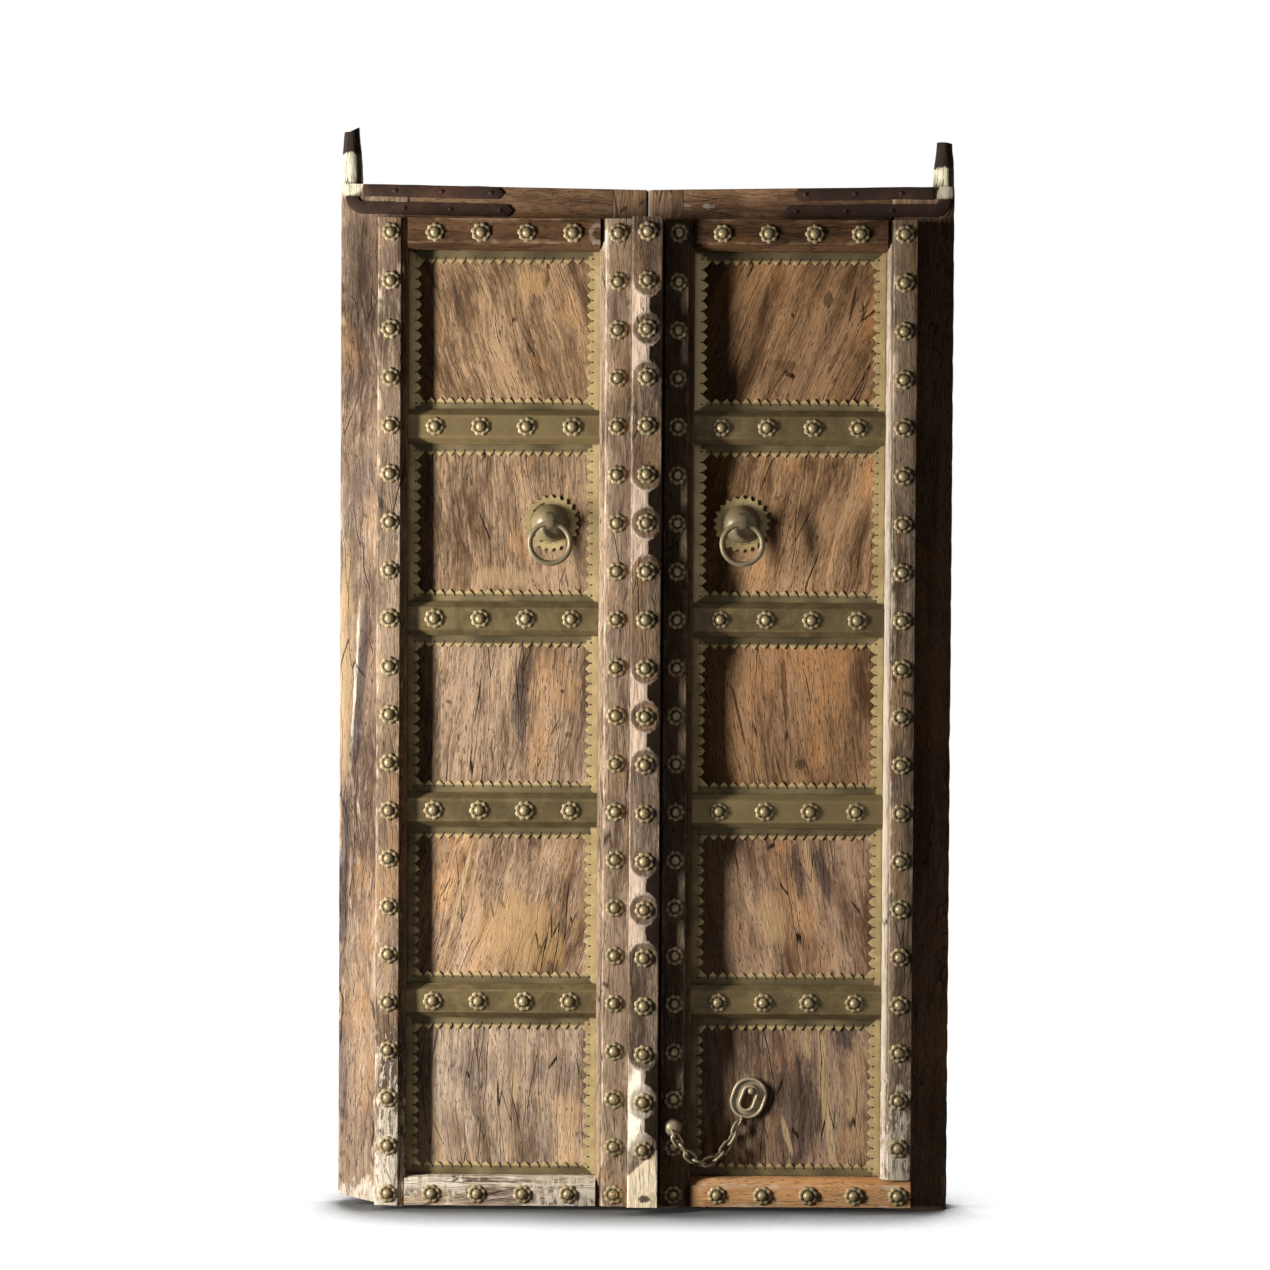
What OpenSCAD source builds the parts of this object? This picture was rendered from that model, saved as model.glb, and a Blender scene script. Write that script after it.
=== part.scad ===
// Pair of old teak door leaves with brass studs, brass-clad cross rails, ring pulls and a hasp chain.
// Each leaf is a mortised base frame that holds five panels, with a moulded face frame nailed on its front.
// The left leaf carries the carved meeting stile that covers the gap between the leaves.
// Lengths are in millimetres. X runs across the pair, the front faces -Y, Z is up,
// and the origin is at floor level in the middle of the pair.

/* [Leaves] */
// Height of a leaf at the meeting edge
leaf_h = 1900; // [1600:10:2300]
// Width of a leaf from the meeting line to its outer edge
leaf_w = 570; // [480:5:720]
// Gap between the two leaves
leaf_gap = 4; // [3:0.5:6]
// Rise of the hand-cut top edge from the meeting line to the outer edge
top_rise = 9; // [0:1:20]
// Thickness of the base frame
base_t = 48; // [44:1:70]

/* [Base frame] */
// Width of the hinge stile
hinge_stile_w = 118; // [112:1:150]
// Width of the lock stile
lock_stile_w = 64; // [56:1:80]
// Length of the rail tenons
tenon_l = 35; // [20:1:45]
// Shoulder above and below each tenon
tenon_shoulder = 12; // [11:0.5:16]
// Depth of the panel grooves
groove_d = 10; // [5:0.5:10.5]
// How far the base opening is larger than the face frame's opening
base_reveal = 8; // [4:1:12]
// Height of the worn corner at the foot of the left hinge stile
worn_h = 24; // [5:1:35]
// Width of that worn corner
worn_w = 96; // [40:1:110]

/* [Panels] */
// Number of panels in a leaf
panel_count = 5; // [3:1:6]
// Thickness of a panel
panel_t = 16; // [10:1:20]
// How far the panel's front lies behind the front of the base frame
panel_set = 5; // [3:0.5:8]

/* [Pivot horns] */
// Radius of a pivot horn at its foot
horn_r = 23; // [18:0.5:23.5]
// Radius of a pivot horn under its tip
horn_tip_r = 15; // [10:0.5:17]
// Distance from the leaf's outer edge to the pivot axis
horn_inset = 17; // [15:0.5:30]
// Height of the left horn above the leaf
left_horn_h = 116; // [70:1:140]
// Height of the right horn above the leaf
right_horn_h = 94; // [70:1:140]
// Chamfer at the tip of a horn
horn_chamfer = 5; // [2:0.5:8]
// Drop of the oblique cut on the left horn's tip
horn_cut_drop = 14; // [4:1:20]

/* [Face frame] */
// Thickness of the face frame
face_t = 30; // [25:1:40]
// Width of a face stile
face_stile_w = 55; // [48:1:70]
// Height of the top face rail
top_face_rail_h = 57; // [45:1:70]
// Height of the bottom face rail
bottom_face_rail_h = 52; // [45:1:70]
// Bare hinge stile outside the face frame
hinge_margin = 71; // [60:1:90]
// Bare top rail above the face frame
head_margin = 57; // [55:1:90]
// Bare bottom rail under the face frame
foot_margin = 9; // [5:1:30]
// Width of the moulding on the panel side
mould_w = 12; // [6:0.5:16]
// Depth of the moulding
mould_d = 16; // [8:0.5:22]
// Step at the top of the moulding
mould_step = 2.5; // [1:0.5:5]

/* [Meeting stile] */
// Width of the meeting stile
meeting_w = 56; // [44:1:70]
// Thickness of the meeting stile
meeting_t = 60; // [50:1:75]
// Clearance between the meeting stile and the right face frame
meeting_clear = 5; // [4:0.5:10]
// Chamfer of the necks between the carved bosses
carve_chamfer = 27; // [12:0.5:27]
// Diameter of a carved boss
carve_boss_d = 58; // [50:1:70]
// Height of the meeting stile's foot above the floor
meeting_foot = 2; // [1:0.5:10]

/* [Cross rails] */
// Height of a cross rail
cross_rail_h = 60; // [50:1:80]
// How far a cross rail stands proud of the base frame
cross_rail_proud = 10; // [6:0.5:16]
// Thickness of the brass cladding
cladding_t = 1.2; // [0.8:0.1:2]

/* [Panel edging] */
// Thickness of the edging strips
edging_t = 1.2; // [0.8:0.1:2]
// Plain width of an edging strip
edging_w = 14; // [8:0.5:22]
// Depth of the cut teeth
tooth_d = 8.5; // [4:0.5:9]
// Target pitch of the teeth
tooth_pitch = 18; // [18:0.5:26]

/* [Studs] */
// Radius of a stud's rosette
rosette_r = 18.5; // [12:0.5:20]
// Thickness of a rosette
rosette_t = 2.4; // [1:0.1:4]
// Number of petals
petals = 8; // [6:1:10]
// Radius of a stud's domed head
stud_r = 10.5; // [7:0.5:11]
// Radius of a stud's shank
shank_r = 2.2; // [1.5:0.1:3]
// Length of a stud's shank below the rosette
shank_l = 9; // [6:1:10]
// Studs in a bay of a stile, from one cross rail to the next
studs_per_bay = 4; // [2:1:4]
// Studs on a rail
rail_studs = 4; // [2:1:4]
// Distance between the studs on a rail
rail_stud_pitch = 85; // [60:1:88]

/* [Iron straps] */
// Thickness of the straps
strap_t = 3; // [2:0.5:5]
// Height of a strap
strap_h = 23; // [15:1:25]
// Length of the upper strap
strap_l = 262; // [180:1:280]
// How much further the lower strap reaches towards the meeting edge
strap_step = 18; // [0:1:40]
// Gap between the straps
strap_gap = 9; // [5:1:14]
// Length of a strap's point
strap_point = 11; // [5:1:20]

/* [Ring pulls] */
// Distance of a ring pull from the meeting line
pull_u = 178; // [165:1:220]
// Outer radius of the toothed back plate
pull_plate_r = 54.5; // [45:0.5:58]
// Thickness of the back plate
pull_plate_t = 1.6; // [1:0.1:3]
// Teeth of the back plate
pull_teeth = 22; // [14:1:30]
// Depth of those teeth
pull_tooth_d = 8; // [4:0.5:10]
// Radius of the dome
dome_r = 36; // [28:0.5:40]
// Height of the dome
dome_h = 28; // [18:0.5:30]
// Wall of the dome
dome_wall = 2.5; // [1.5:0.1:4]
// Width of the eye that holds the ring
eye_w = 13; // [8:0.5:15]
// Radius of the eye's hole
eye_hole_r = 6.6; // [6.2:0.1:8]
// Metal around the eye's hole
eye_wall = 5; // [3:0.5:7]
// How far the eye's slot reaches above the ring
eye_slot = 9; // [4:0.5:12]
// Radius of the eye's shank
eye_shank_r = 5; // [3:0.5:6]
// Radius of the ring at the middle of its wire
ring_r = 37.2; // [30:0.5:42]
// Radius of the ring's wire
ring_wire_r = 5.2; // [4:0.1:5.4]

/* [Hasp and chain] */
// Distance of the hasp's peg from the meeting line
peg_u = 203; // [195:1:240]
// Height of the hasp's peg above the floor
peg_z = 222; // [200:1:240]
// Radius of the peg
peg_r = 4; // [3:0.5:5]
// Radius of the peg's ball head
peg_ball_r = 7; // [6:0.5:9]
// Width of the hasp
hasp_w = 66; // [50:1:74]
// Length of the hasp
hasp_l = 80; // [76:1:95]
// Thickness of the hasp's plate
hasp_t = 3.5; // [2:0.5:6]
// Height of the hasp's raised rims above its plate
hasp_rim_t = 3; // [1.5:0.5:5]
// Width of the hasp's slot
hasp_slot_w = 20; // [18:0.5:26]
// Length of the hasp's slot
hasp_slot_l = 40; // [30:1:50]
// Width of a raised rim
hasp_rim_w = 6; // [3:0.5:8]
// Lean of the hasp, in degrees
hasp_lean = 20; // [5:1:25]
// Radius of the chain's wire
link_wire_r = 2.2; // [1.5:0.1:2.3]
// Outer width of a chain link
link_w = 19; // [18:0.5:21]
// Number of chain links, an odd number
link_count = 9; // [7:2:11]
// Sag of the chain below the line between its ends
chain_sag = 62; // [45:1:75]
// Radius of the domed chain boss on the right inner face stile
chain_boss_r = 18; // [14:0.5:18]
// Height of the chain boss
chain_boss_h = 17.5; // [10:0.5:20]
// Height of the chain boss above the floor
chain_boss_z = 158; // [158:1:175]
// Wire radius of the eyes at the chain's ends
chain_eye_wire_r = 2.2; // [1.5:0.1:2.6]
// Radius of those eyes at the middle of their wire
chain_eye_r = 7; // [6:0.5:9]

/* [Hidden] */
$fn = 48;
// Clearance of wood in wood, of a nail in its hole and of chain parts in each other
fit = 0.3;
nail_fit = 0.15;
link_fit = 1;
mitre_gap = 0.4;
// Step to which the straight run of a link is rounded
link_step = 0.02;
// Overrun of every cut
over = 1;

SIDES = ["left", "right"];
LAST_STUD = studs_per_bay * panel_count;

// The part's middle in depth is at y = 0, between the back of the base and the studs on the meeting stile
front_reach = meeting_t + rosette_t + stud_r;
front_y = (front_reach - base_t) / 2;

// Places across a leaf, measured outwards from the meeting line
lock_out = leaf_gap / 2;
lock_in = lock_out + lock_stile_w;
hinge_in = leaf_w - hinge_stile_w;
face_out = leaf_w - hinge_margin;
open_out = face_out - face_stile_w;
open_in = meeting_w / 2 + meeting_clear + face_stile_w;
horn_u = leaf_w - horn_inset;
opening_mid = (open_in + open_out) / 2;

// Heights of a leaf
face_top = leaf_h - head_margin;
open_top = face_top - top_face_rail_h;
open_bottom = foot_margin + bottom_face_rail_h;
panel_h = (open_top - open_bottom - (panel_count - 1) * cross_rail_h) / panel_count;
bay = panel_h + cross_rail_h;
base_top = open_top + base_reveal;
base_bottom = open_bottom - base_reveal;
stud_pitch = bay / studs_per_bay;
first_stud_z = open_bottom - cross_rail_h / 2;
tenon_y = panel_set;

function top_z(u) = leaf_h + top_rise * u / leaf_w;
// Middle of cross rail i, counted from the top
function rail_z(i) = open_top - i * bay + cross_rail_h / 2;
// Lower and upper edge of the base opening of panel i, counted from the top
function panel_low(i) = i == panel_count ? base_bottom : rail_z(i) + cross_rail_h / 2;
function panel_high(i) = i == 1 ? base_top : rail_z(i - 1) - cross_rail_h / 2;
function stud_z(k) = first_stud_z + k * stud_pitch;
function face_in(side) = meeting_w / 2 + (side == "left" ? 0 : meeting_clear);
function horn_h(side) = side == "left" ? left_horn_h : right_horn_h;

WOOD = "#8a6a4c";
DARK_WOOD = "#6e5238";
PANEL_WOOD = "#9a7450";
BRASS = "#8f7d45";
IRON = "#3a2e2a";

// Puts a piece that is drawn in leaf space (outwards, back, up) on the left or the right leaf
module leaf(side) {
    translate([0, front_y, 0])
        mirror([side == "left" ? 1 : 0, 0, 0])
            children();
}

// A block between pairs of limits
module block(u, y, z) {
    translate([u[0], y[0], z[0]])
        cube([u[1] - u[0], y[1] - y[0], z[1] - z[0]]);
}

// A board of the given outline, seen from the front, from depth y to y + t
module board(outline, y, t) {
    translate([0, y + t, 0])
        rotate([90, 0, 0])
            linear_extrude(height = t)
                polygon(outline);
}

// A bar of the given section (depth, height) that runs across the leaf
module cross_bar(section, u) {
    translate([u[0], 0, 0])
        rotate([90, 0, 90])
            linear_extrude(height = u[1] - u[0])
                polygon(section);
}

// Turns a piece drawn along +Z to stand out of a face at depth y
module on_face(u, y, z) {
    translate([u, y, z])
        rotate([90, 0, 0])
            children();
}

// Heights between which each rail's tenon lies
function tenon_spans() = concat(
    [[tenon_shoulder, base_bottom - tenon_shoulder]],
    [[base_top + tenon_shoulder, leaf_h - tenon_shoulder]],
    [for (i = [1 : panel_count - 1]) [rail_z(i) - cross_rail_h / 2 + tenon_shoulder,
                                      rail_z(i) + cross_rail_h / 2 - tenon_shoulder]]);

// Mortises and the panel groove in the edge of a stile; way is 1 where the stile lies outwards of its edge
module stile_joints(edge, way) {
    groove_u = [edge - (way > 0 ? over : groove_d), edge + (way > 0 ? groove_d : over)];
    mortise = tenon_l + fit;
    mortise_u = [edge - (way > 0 ? over : mortise), edge + (way > 0 ? mortise : over)];
    joint_y = [tenon_y - fit, tenon_y + panel_t + fit];
    block(groove_u, joint_y, [base_bottom - groove_d, base_top + groove_d]);
    for (s = tenon_spans())
        block(mortise_u, joint_y, [s[0] - fit, s[1] + fit]);
}

// A rail's two tenons, the ends of one block that runs through it
module tenons(span) {
    block([lock_in - tenon_l, hinge_in + tenon_l], [tenon_y, tenon_y + panel_t], span);
}

// A groove along the upper or lower edge of a rail
module rail_groove(z) {
    block([lock_in - over, hinge_in + over], [tenon_y - fit, tenon_y + panel_t + fit], z);
}

// Tapered wooden pivot at the top of the hinge stile, flat on the outer side
module horn(side) {
    h = horn_h(side);
    shaft_h = h - horn_chamfer;
    tip_r = horn_tip_r - horn_chamfer;
    cut_angle = atan(horn_cut_drop / (horn_tip_r * 2));
    difference() {
        intersection() {
            translate([horn_u, base_t / 2, leaf_h]) {
                cylinder(r1 = horn_r, r2 = horn_tip_r, h = shaft_h);
                translate([0, 0, shaft_h])
                    cylinder(r1 = horn_tip_r, r2 = tip_r, h = horn_chamfer);
            }
            block([horn_u - leaf_w, leaf_w], [0, base_t], [leaf_h, leaf_h + h]);
        }
        if (side == "left")
            translate([horn_u - horn_tip_r / 2, -over, leaf_h + h])
                rotate([0, cut_angle, 0])
                    cube([leaf_w, base_t + over * 2, h]);
    }
}

module hinge_stile(side) {
    worn = side == "left" ? worn_h : 0;
    color(DARK_WOOD) leaf(side) {
        difference() {
            board([[hinge_in, 0], [leaf_w - worn_w, 0], [leaf_w, worn],
                   [leaf_w, top_z(leaf_w)], [hinge_in, top_z(hinge_in)]], 0, base_t);
            stile_joints(hinge_in, 1);
        }
        horn(side);
    }
}

module lock_stile(side) {
    color(WOOD) leaf(side)
        difference() {
            board([[lock_out, 0], [lock_in, 0], [lock_in, top_z(lock_in)], [lock_out, top_z(lock_out)]],
                  0, base_t);
            stile_joints(lock_in, -1);
        }
}

module top_rail(side) {
    color(WOOD) leaf(side)
        difference() {
            union() {
                board([[lock_in, base_top], [hinge_in, base_top],
                       [hinge_in, top_z(hinge_in)], [lock_in, top_z(lock_in)]], 0, base_t);
                tenons([base_top + tenon_shoulder, leaf_h - tenon_shoulder]);
            }
            rail_groove([base_top - over, base_top + groove_d]);
        }
}

module bottom_rail(side) {
    color(DARK_WOOD) leaf(side)
        difference() {
            union() {
                block([lock_in, hinge_in], [0, base_t], [0, base_bottom]);
                tenons([tenon_shoulder, base_bottom - tenon_shoulder]);
            }
            rail_groove([base_bottom - groove_d, base_bottom + over]);
        }
}

// Half of the cross rail's front section, mirrored: a flat face between two bevels
function rail_front(half, proud) = [[0, -half], [0, half], [-proud, half - proud], [-proud, proud - half]];

module cross_rail(side, i) {
    half = cross_rail_h / 2;
    z = rail_z(i);
    color(DARK_WOOD) leaf(side)
        difference() {
            union() {
                block([lock_in, hinge_in], [0, base_t], [z - half, z + half]);
                tenons([z - half + tenon_shoulder, z + half - tenon_shoulder]);
                translate([0, 0, z])
                    cross_bar(rail_front(half, cross_rail_proud), [open_in + fit, open_out - fit]);
            }
            rail_groove([z - half - over, z - half + groove_d]);
            rail_groove([z + half - groove_d, z + half + over]);
            stud_holes(cross_rail_studs(i));
        }
}

// Sheet brass folded over the front of each cross rail
module rail_cladding(side) {
    half = cross_rail_h / 2;
    corner = cladding_t * tan(45 / 2);
    spread = cladding_t * sqrt(2);
    inner = [[0, half], [-cross_rail_proud, half - cross_rail_proud],
             [-cross_rail_proud, cross_rail_proud - half], [0, -half]];
    outer = [[0, -half - spread],
             [-cross_rail_proud - cladding_t, cross_rail_proud - half - corner],
             [-cross_rail_proud - cladding_t, half - cross_rail_proud + corner],
             [0, half + spread]];
    color(BRASS) leaf(side)
        for (i = [1 : panel_count - 1])
            difference() {
                translate([0, 0, rail_z(i)])
                    cross_bar(concat(inner, outer), [open_in + fit, open_out - fit]);
                stud_holes(cross_rail_studs(i));
            }
}

module panel(side, i) {
    color(PANEL_WOOD) leaf(side)
        difference() {
            block([lock_in - groove_d + fit, hinge_in + groove_d - fit],
                  [panel_set, panel_set + panel_t],
                  [panel_low(i) - groove_d + fit, panel_high(i) + groove_d - fit]);
            if (i == pull_panel)
                pull_bore(eye_shank_r + nail_fit);
            if (side == "right" && i == panel_count)
                on_face(peg_u, panel_set + panel_t + over, peg_z)
                    cylinder(r = peg_r + nail_fit, h = panel_t + over * 2);
        }
}

// An edging strip along +X with mitred ends and teeth cut in its upper edge
function toothed_strip(length) =
    let (start = edging_w + mitre_gap,
         count = max(1, floor((length - start * 2) / tooth_pitch)),
         pitch = (length - start * 2) / count)
    concat([[mitre_gap, 0], [length - mitre_gap, 0], [length - start, edging_w]],
           [for (k = [count - 1 : -1 : 0]) each
               [[start + (k + 1 / 2) * pitch, edging_w + tooth_d], [start + k * pitch, edging_w]]]);

// Four strips round one panel
module edging(width, height) {
    for (a = [0, 180])
        rotate([0, 0, a])
            translate([-width / 2, -height / 2])
                linear_extrude(height = edging_t)
                    polygon(toothed_strip(width));
    for (a = [90, 270])
        rotate([0, 0, a])
            translate([-height / 2, -width / 2])
                linear_extrude(height = edging_t)
                    polygon(toothed_strip(height));
}

// Lower and upper edge of the space that panel i shows
function shown_low(i) = open_top - (i - 1) * bay - panel_h;

module panel_edging(side) {
    color(BRASS) leaf(side)
        for (i = [1 : panel_count])
            on_face(opening_mid, panel_set, shown_low(i) + panel_h / 2)
                edging(open_out - open_in - fit * 2, panel_h - fit * 2);
}

// Section of a face stile or rail: x from its plain edge to its moulded edge, y towards the front
mould_steps = 5;
function face_section(width) = concat(
    [[0, -face_t], [0, 0], [width, 0]],
    [for (a = [0 : 90 / mould_steps : 90])
        [width - mould_w + mould_w * cos(a), -face_t + mould_d - (mould_d - mould_step) * sin(a)]],
    [[width - mould_w, -face_t]]);

module inner_face_stile(side) {
    width = open_in - face_in(side);
    bored = side == "right" ? [[chain_boss_u, -face_t, chain_boss_z]] : [];
    color(WOOD) leaf(side)
        difference() {
            translate([face_in(side), 0, foot_margin])
                linear_extrude(height = face_top - foot_margin)
                    polygon(face_section(width));
            stud_holes(concat(column_studs(inner_stud_u(side), -face_t), bored));
        }
}

// The right leaf's outer face stile stands on the bottom face rail, which runs out under it
function outer_stile_foot(side) = side == "left" ? foot_margin : open_bottom;

module outer_face_stile(side) {
    foot = outer_stile_foot(side);
    color(WOOD) leaf(side)
        difference() {
            translate([face_out, 0, foot])
                mirror([1, 0, 0])
                    linear_extrude(height = face_top - foot)
                        polygon(face_section(face_stile_w));
            stud_holes(column_studs(outer_stud_u, -face_t));
        }
}

module top_face_rail(side) {
    section = [for (p = face_section(top_face_rail_h)) [p[1], face_top - p[0]]];
    color(WOOD) leaf(side)
        difference() {
            cross_bar(section, [open_in, open_out]);
            stud_holes(rail_row_studs(stud_z(LAST_STUD)));
        }
}

module bottom_face_rail(side) {
    section = [for (p = face_section(bottom_face_rail_h)) [p[1], foot_margin + p[0]]];
    end = side == "left" ? open_out : face_out;
    color(WOOD) leaf(side)
        difference() {
            cross_bar(section, [open_in, end]);
            stud_holes(rail_row_studs(stud_z(0)));
            if (side == "right")
                stud_holes([[outer_stud_u, -face_t, stud_z(0)]]);
        }
}

// Carved necks lie on both sides of the middle stud of each bay
carved_studs = [for (b = [0 : panel_count - 1]) b * studs_per_bay + studs_per_bay / 2];

// One neck: both front corners chamfered between two round bosses
module carved_neck(low, high) {
    side_reach = carve_chamfer * sqrt(2);
    difference() {
        for (u = [-meeting_w / 2, meeting_w / 2])
            translate([u, -meeting_t, low])
                rotate([0, 0, 45])
                    translate([-side_reach / 2, -side_reach / 2, 0])
                        cube([side_reach, side_reach, high - low]);
        for (z = [low, high])
            on_face(0, over, z)
                cylinder(d = carve_boss_d, h = meeting_t + over * 2);
    }
}

// Carved bar that covers the gap between the leaves
module meeting_stile() {
    color(WOOD) leaf("left")
        difference() {
            block([-meeting_w / 2, meeting_w / 2], [-meeting_t, 0], [meeting_foot, face_top]);
            for (k = carved_studs) {
                carved_neck(stud_z(k - 1), stud_z(k));
                carved_neck(stud_z(k), stud_z(k + 1));
            }
            stud_holes(meeting_studs);
        }
}

// Places of the studs, each as [outwards, depth of its face, height]
outer_stud_u = face_out - (face_stile_w - mould_w) / 2 - mould_step;
function inner_stud_u(side) = (face_in(side) + open_in - mould_w) / 2 + mould_step;
rail_stud_y = -cross_rail_proud - cladding_t;
function column_studs(u, y) = [for (k = [0 : LAST_STUD]) [u, y, stud_z(k)]];
function rail_stud_u(k) = opening_mid + (k - (rail_studs - 1) / 2) * rail_stud_pitch;
function rail_row_studs(z) = [for (k = [0 : rail_studs - 1]) [rail_stud_u(k), -face_t, z]];
function cross_rail_studs(i) = [for (k = [0 : rail_studs - 1]) [rail_stud_u(k), rail_stud_y, rail_z(i)]];
// The lowest stud of the meeting stile is lost
meeting_studs = [for (k = [1 : LAST_STUD]) [0, -meeting_t, stud_z(k)]];

function all_studs(side) = concat(
    column_studs(inner_stud_u(side), -face_t),
    column_studs(outer_stud_u, -face_t),
    rail_row_studs(stud_z(0)),
    rail_row_studs(stud_z(LAST_STUD)),
    [for (i = [1 : panel_count - 1]) each cross_rail_studs(i)],
    side == "left" ? meeting_studs : []);

module stud_holes(places) {
    for (p = places)
        on_face(p[0], p[1] + shank_l + fit, p[2])
            cylinder(r = shank_r + nail_fit, h = shank_l + fit + over);
}

// Outline of a rosette: blunt petals with a notch between each two
notch_share = 0.72;
petal_share = 0.3;
function flower() = [for (k = [0 : petals - 1]) each
    [let (a = 360 / petals * k) rosette_r * notch_share * [cos(a), sin(a)],
     let (a = 360 / petals * (k + petal_share)) rosette_r * [cos(a), sin(a)],
     let (a = 360 / petals * (k + 1 - petal_share)) rosette_r * [cos(a), sin(a)]]];

module rosettes(side) {
    color(BRASS) leaf(side)
        for (p = all_studs(side))
            on_face(p[0], p[1], p[2])
                difference() {
                    linear_extrude(height = rosette_t)
                        polygon(flower());
                    translate([0, 0, -over])
                        cylinder(r = shank_r + nail_fit, h = rosette_t + over * 2);
                }
}

module stud_nails(side) {
    color(BRASS) leaf(side)
        for (p = all_studs(side))
            on_face(p[0], p[1] + shank_l, p[2]) {
                cylinder(r = shank_r, h = shank_l + rosette_t);
                translate([0, 0, shank_l + rosette_t])
                    intersection() {
                        sphere(r = stud_r);
                        cylinder(r = stud_r + over, h = stud_r);
                    }
            }
}

// Two iron straps that tie the hinge stile to the top rail, pointed towards the meeting edge
strap_out = horn_u - horn_r;
strap_bend_steps = 6;
module iron_straps(side) {
    mid = strap_h / 2;
    slope = atan(top_rise / leaf_w);
    inner = strap_out - strap_l;
    low = inner - strap_step;
    bend = strap_h + strap_gap;
    color(IRON) leaf(side)
        translate([strap_out, 0, top_z(strap_out) - strap_h - fit])
            rotate([0, -slope, 0])
                translate([-strap_out, 0, 0]) {
                    board([[inner, mid], [inner + strap_point, 0], [strap_out, 0],
                           [strap_out, strap_h], [inner + strap_point, strap_h]], -strap_t, strap_t);
                    board(concat(
                        [[low, mid - bend], [low + strap_point, -bend]],
                        [for (a = [-90 : 90 / strap_bend_steps : 0])
                            [strap_out + bend * cos(a), bend * sin(a)]],
                        [for (a = [0 : -90 / strap_bend_steps : -90])
                            [strap_out + strap_gap * cos(a), strap_gap * sin(a)]],
                        [[low + strap_point, -strap_gap]]), -strap_t, strap_t);
                }
}

// Ring pulls, in the middle of the second panel from the top
pull_panel = 2;
pull_z = shown_low(pull_panel) + panel_h / 2;
dome_ball_r = (dome_r * dome_r + dome_h * dome_h) / (dome_h * 2);
eye_out = pull_plate_t + dome_h + eye_hole_r + eye_wall / 2;
pull_back = panel_set + panel_t;
// The ring's wire hangs low in the eye's slot, and the wire's bend takes up most of this seat
ring_seat = 0.9;
ring_drop = eye_hole_r - ring_wire_r - ring_seat;

// Puts a piece drawn along +Z on the pull's place, with its foot on the panel
module pull_place(side) {
    leaf(side)
        on_face(pull_u, panel_set, pull_z)
            children();
}

module pull_bore(r) {
    on_face(pull_u, pull_back + over, pull_z)
        cylinder(r = r, h = pull_back + eye_out);
}

module pull_plate(side) {
    tip = pull_plate_r;
    valley = pull_plate_r - pull_tooth_d;
    color(BRASS) pull_place(side)
        difference() {
            linear_extrude(height = pull_plate_t)
                polygon([for (k = [0 : pull_teeth * 2 - 1])
                    (k % 2 == 0 ? tip : valley) * [cos(180 / pull_teeth * k), sin(180 / pull_teeth * k)]]);
            translate([0, 0, -over])
                cylinder(r = eye_shank_r + nail_fit, h = pull_plate_t + over * 2);
        }
}

module pull_dome(side) {
    color(BRASS) pull_place(side)
        translate([0, 0, pull_plate_t])
            difference() {
                intersection() {
                    translate([0, 0, dome_h - dome_ball_r])
                        sphere(r = dome_ball_r);
                    cylinder(r = dome_r + over, h = dome_h + over);
                }
                translate([0, 0, dome_h - dome_ball_r])
                    sphere(r = dome_ball_r - dome_wall);
                cylinder(r = eye_shank_r + nail_fit, h = dome_h + over);
            }
}

// Eye plate with a round nose, slotted for the ring, on a shank that goes through the panel
module pull_staple(side) {
    nose = eye_hole_r + eye_wall;
    foot = pull_plate_t + dome_h + fit;
    color(BRASS) pull_place(side) {
        translate([0, 0, -panel_t])
            cylinder(r = eye_shank_r, h = panel_t + foot + eye_wall / 2);
        difference() {
            union() {
                for (y = [0, eye_slot])
                    translate([-eye_w / 2, y, eye_out])
                        rotate([0, 90, 0])
                            cylinder(r = nose, h = eye_w);
                translate([-eye_w / 2, 0, eye_out - nose])
                    cube([eye_w, eye_slot, nose * 2]);
            }
            for (y = [0, eye_slot])
                translate([-eye_w / 2 - over, y, eye_out])
                    rotate([0, 90, 0])
                        cylinder(r = eye_hole_r, h = eye_w + over * 2);
            translate([-eye_w / 2 - over, 0, eye_out - eye_hole_r])
                cube([eye_w + over * 2, eye_slot, eye_hole_r * 2]);
            translate([-leaf_w / 2, -leaf_w / 2, foot - leaf_w])
                cube(leaf_w);
        }
    }
}

// Ring that hangs in the eye
module pull_ring(side) {
    color(BRASS) pull_place(side)
        translate([0, -ring_r - ring_drop, eye_out])
            rotate_extrude()
                translate([ring_r, 0])
                    circle(r = ring_wire_r);
}

// Hasp on its peg, with a chain to the boss on the right inner face stile
hasp_back = panel_set - fit;
hasp_front = hasp_back - hasp_t;

// A plate with round ends along Z, standing out of the face at depth y
module round_plate(width, length, y, t) {
    straight = length - width;
    for (z = [-straight / 2, straight / 2])
        on_face(0, y, z)
            cylinder(d = width, h = t);
    block([-width / 2, width / 2], [y - t, y], [-straight / 2, straight / 2]);
}

// Middle of the hasp, so that the top of its slot hangs on the peg
hasp_drop = hasp_slot_l / 2 - peg_r - fit;
hasp_u = peg_u - hasp_drop * sin(hasp_lean);
hasp_z = peg_z - hasp_drop * cos(hasp_lean);

module hasp_peg() {
    shaft_l = panel_t + panel_set - hasp_front + hasp_rim_t;
    color(BRASS) leaf("right")
        on_face(peg_u, panel_set + panel_t, peg_z) {
            cylinder(r = peg_r, h = shaft_l + peg_ball_r / 2);
            translate([0, 0, shaft_l + peg_ball_r])
                sphere(r = peg_ball_r);
        }
}

// A raised rim on the hasp's plate
module hasp_rim(width, length) {
    difference() {
        round_plate(width, length, hasp_front, hasp_rim_t);
        round_plate(width - hasp_rim_w * 2, length - hasp_rim_w * 2,
                    hasp_front + over, hasp_rim_t + over * 2);
    }
}

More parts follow.
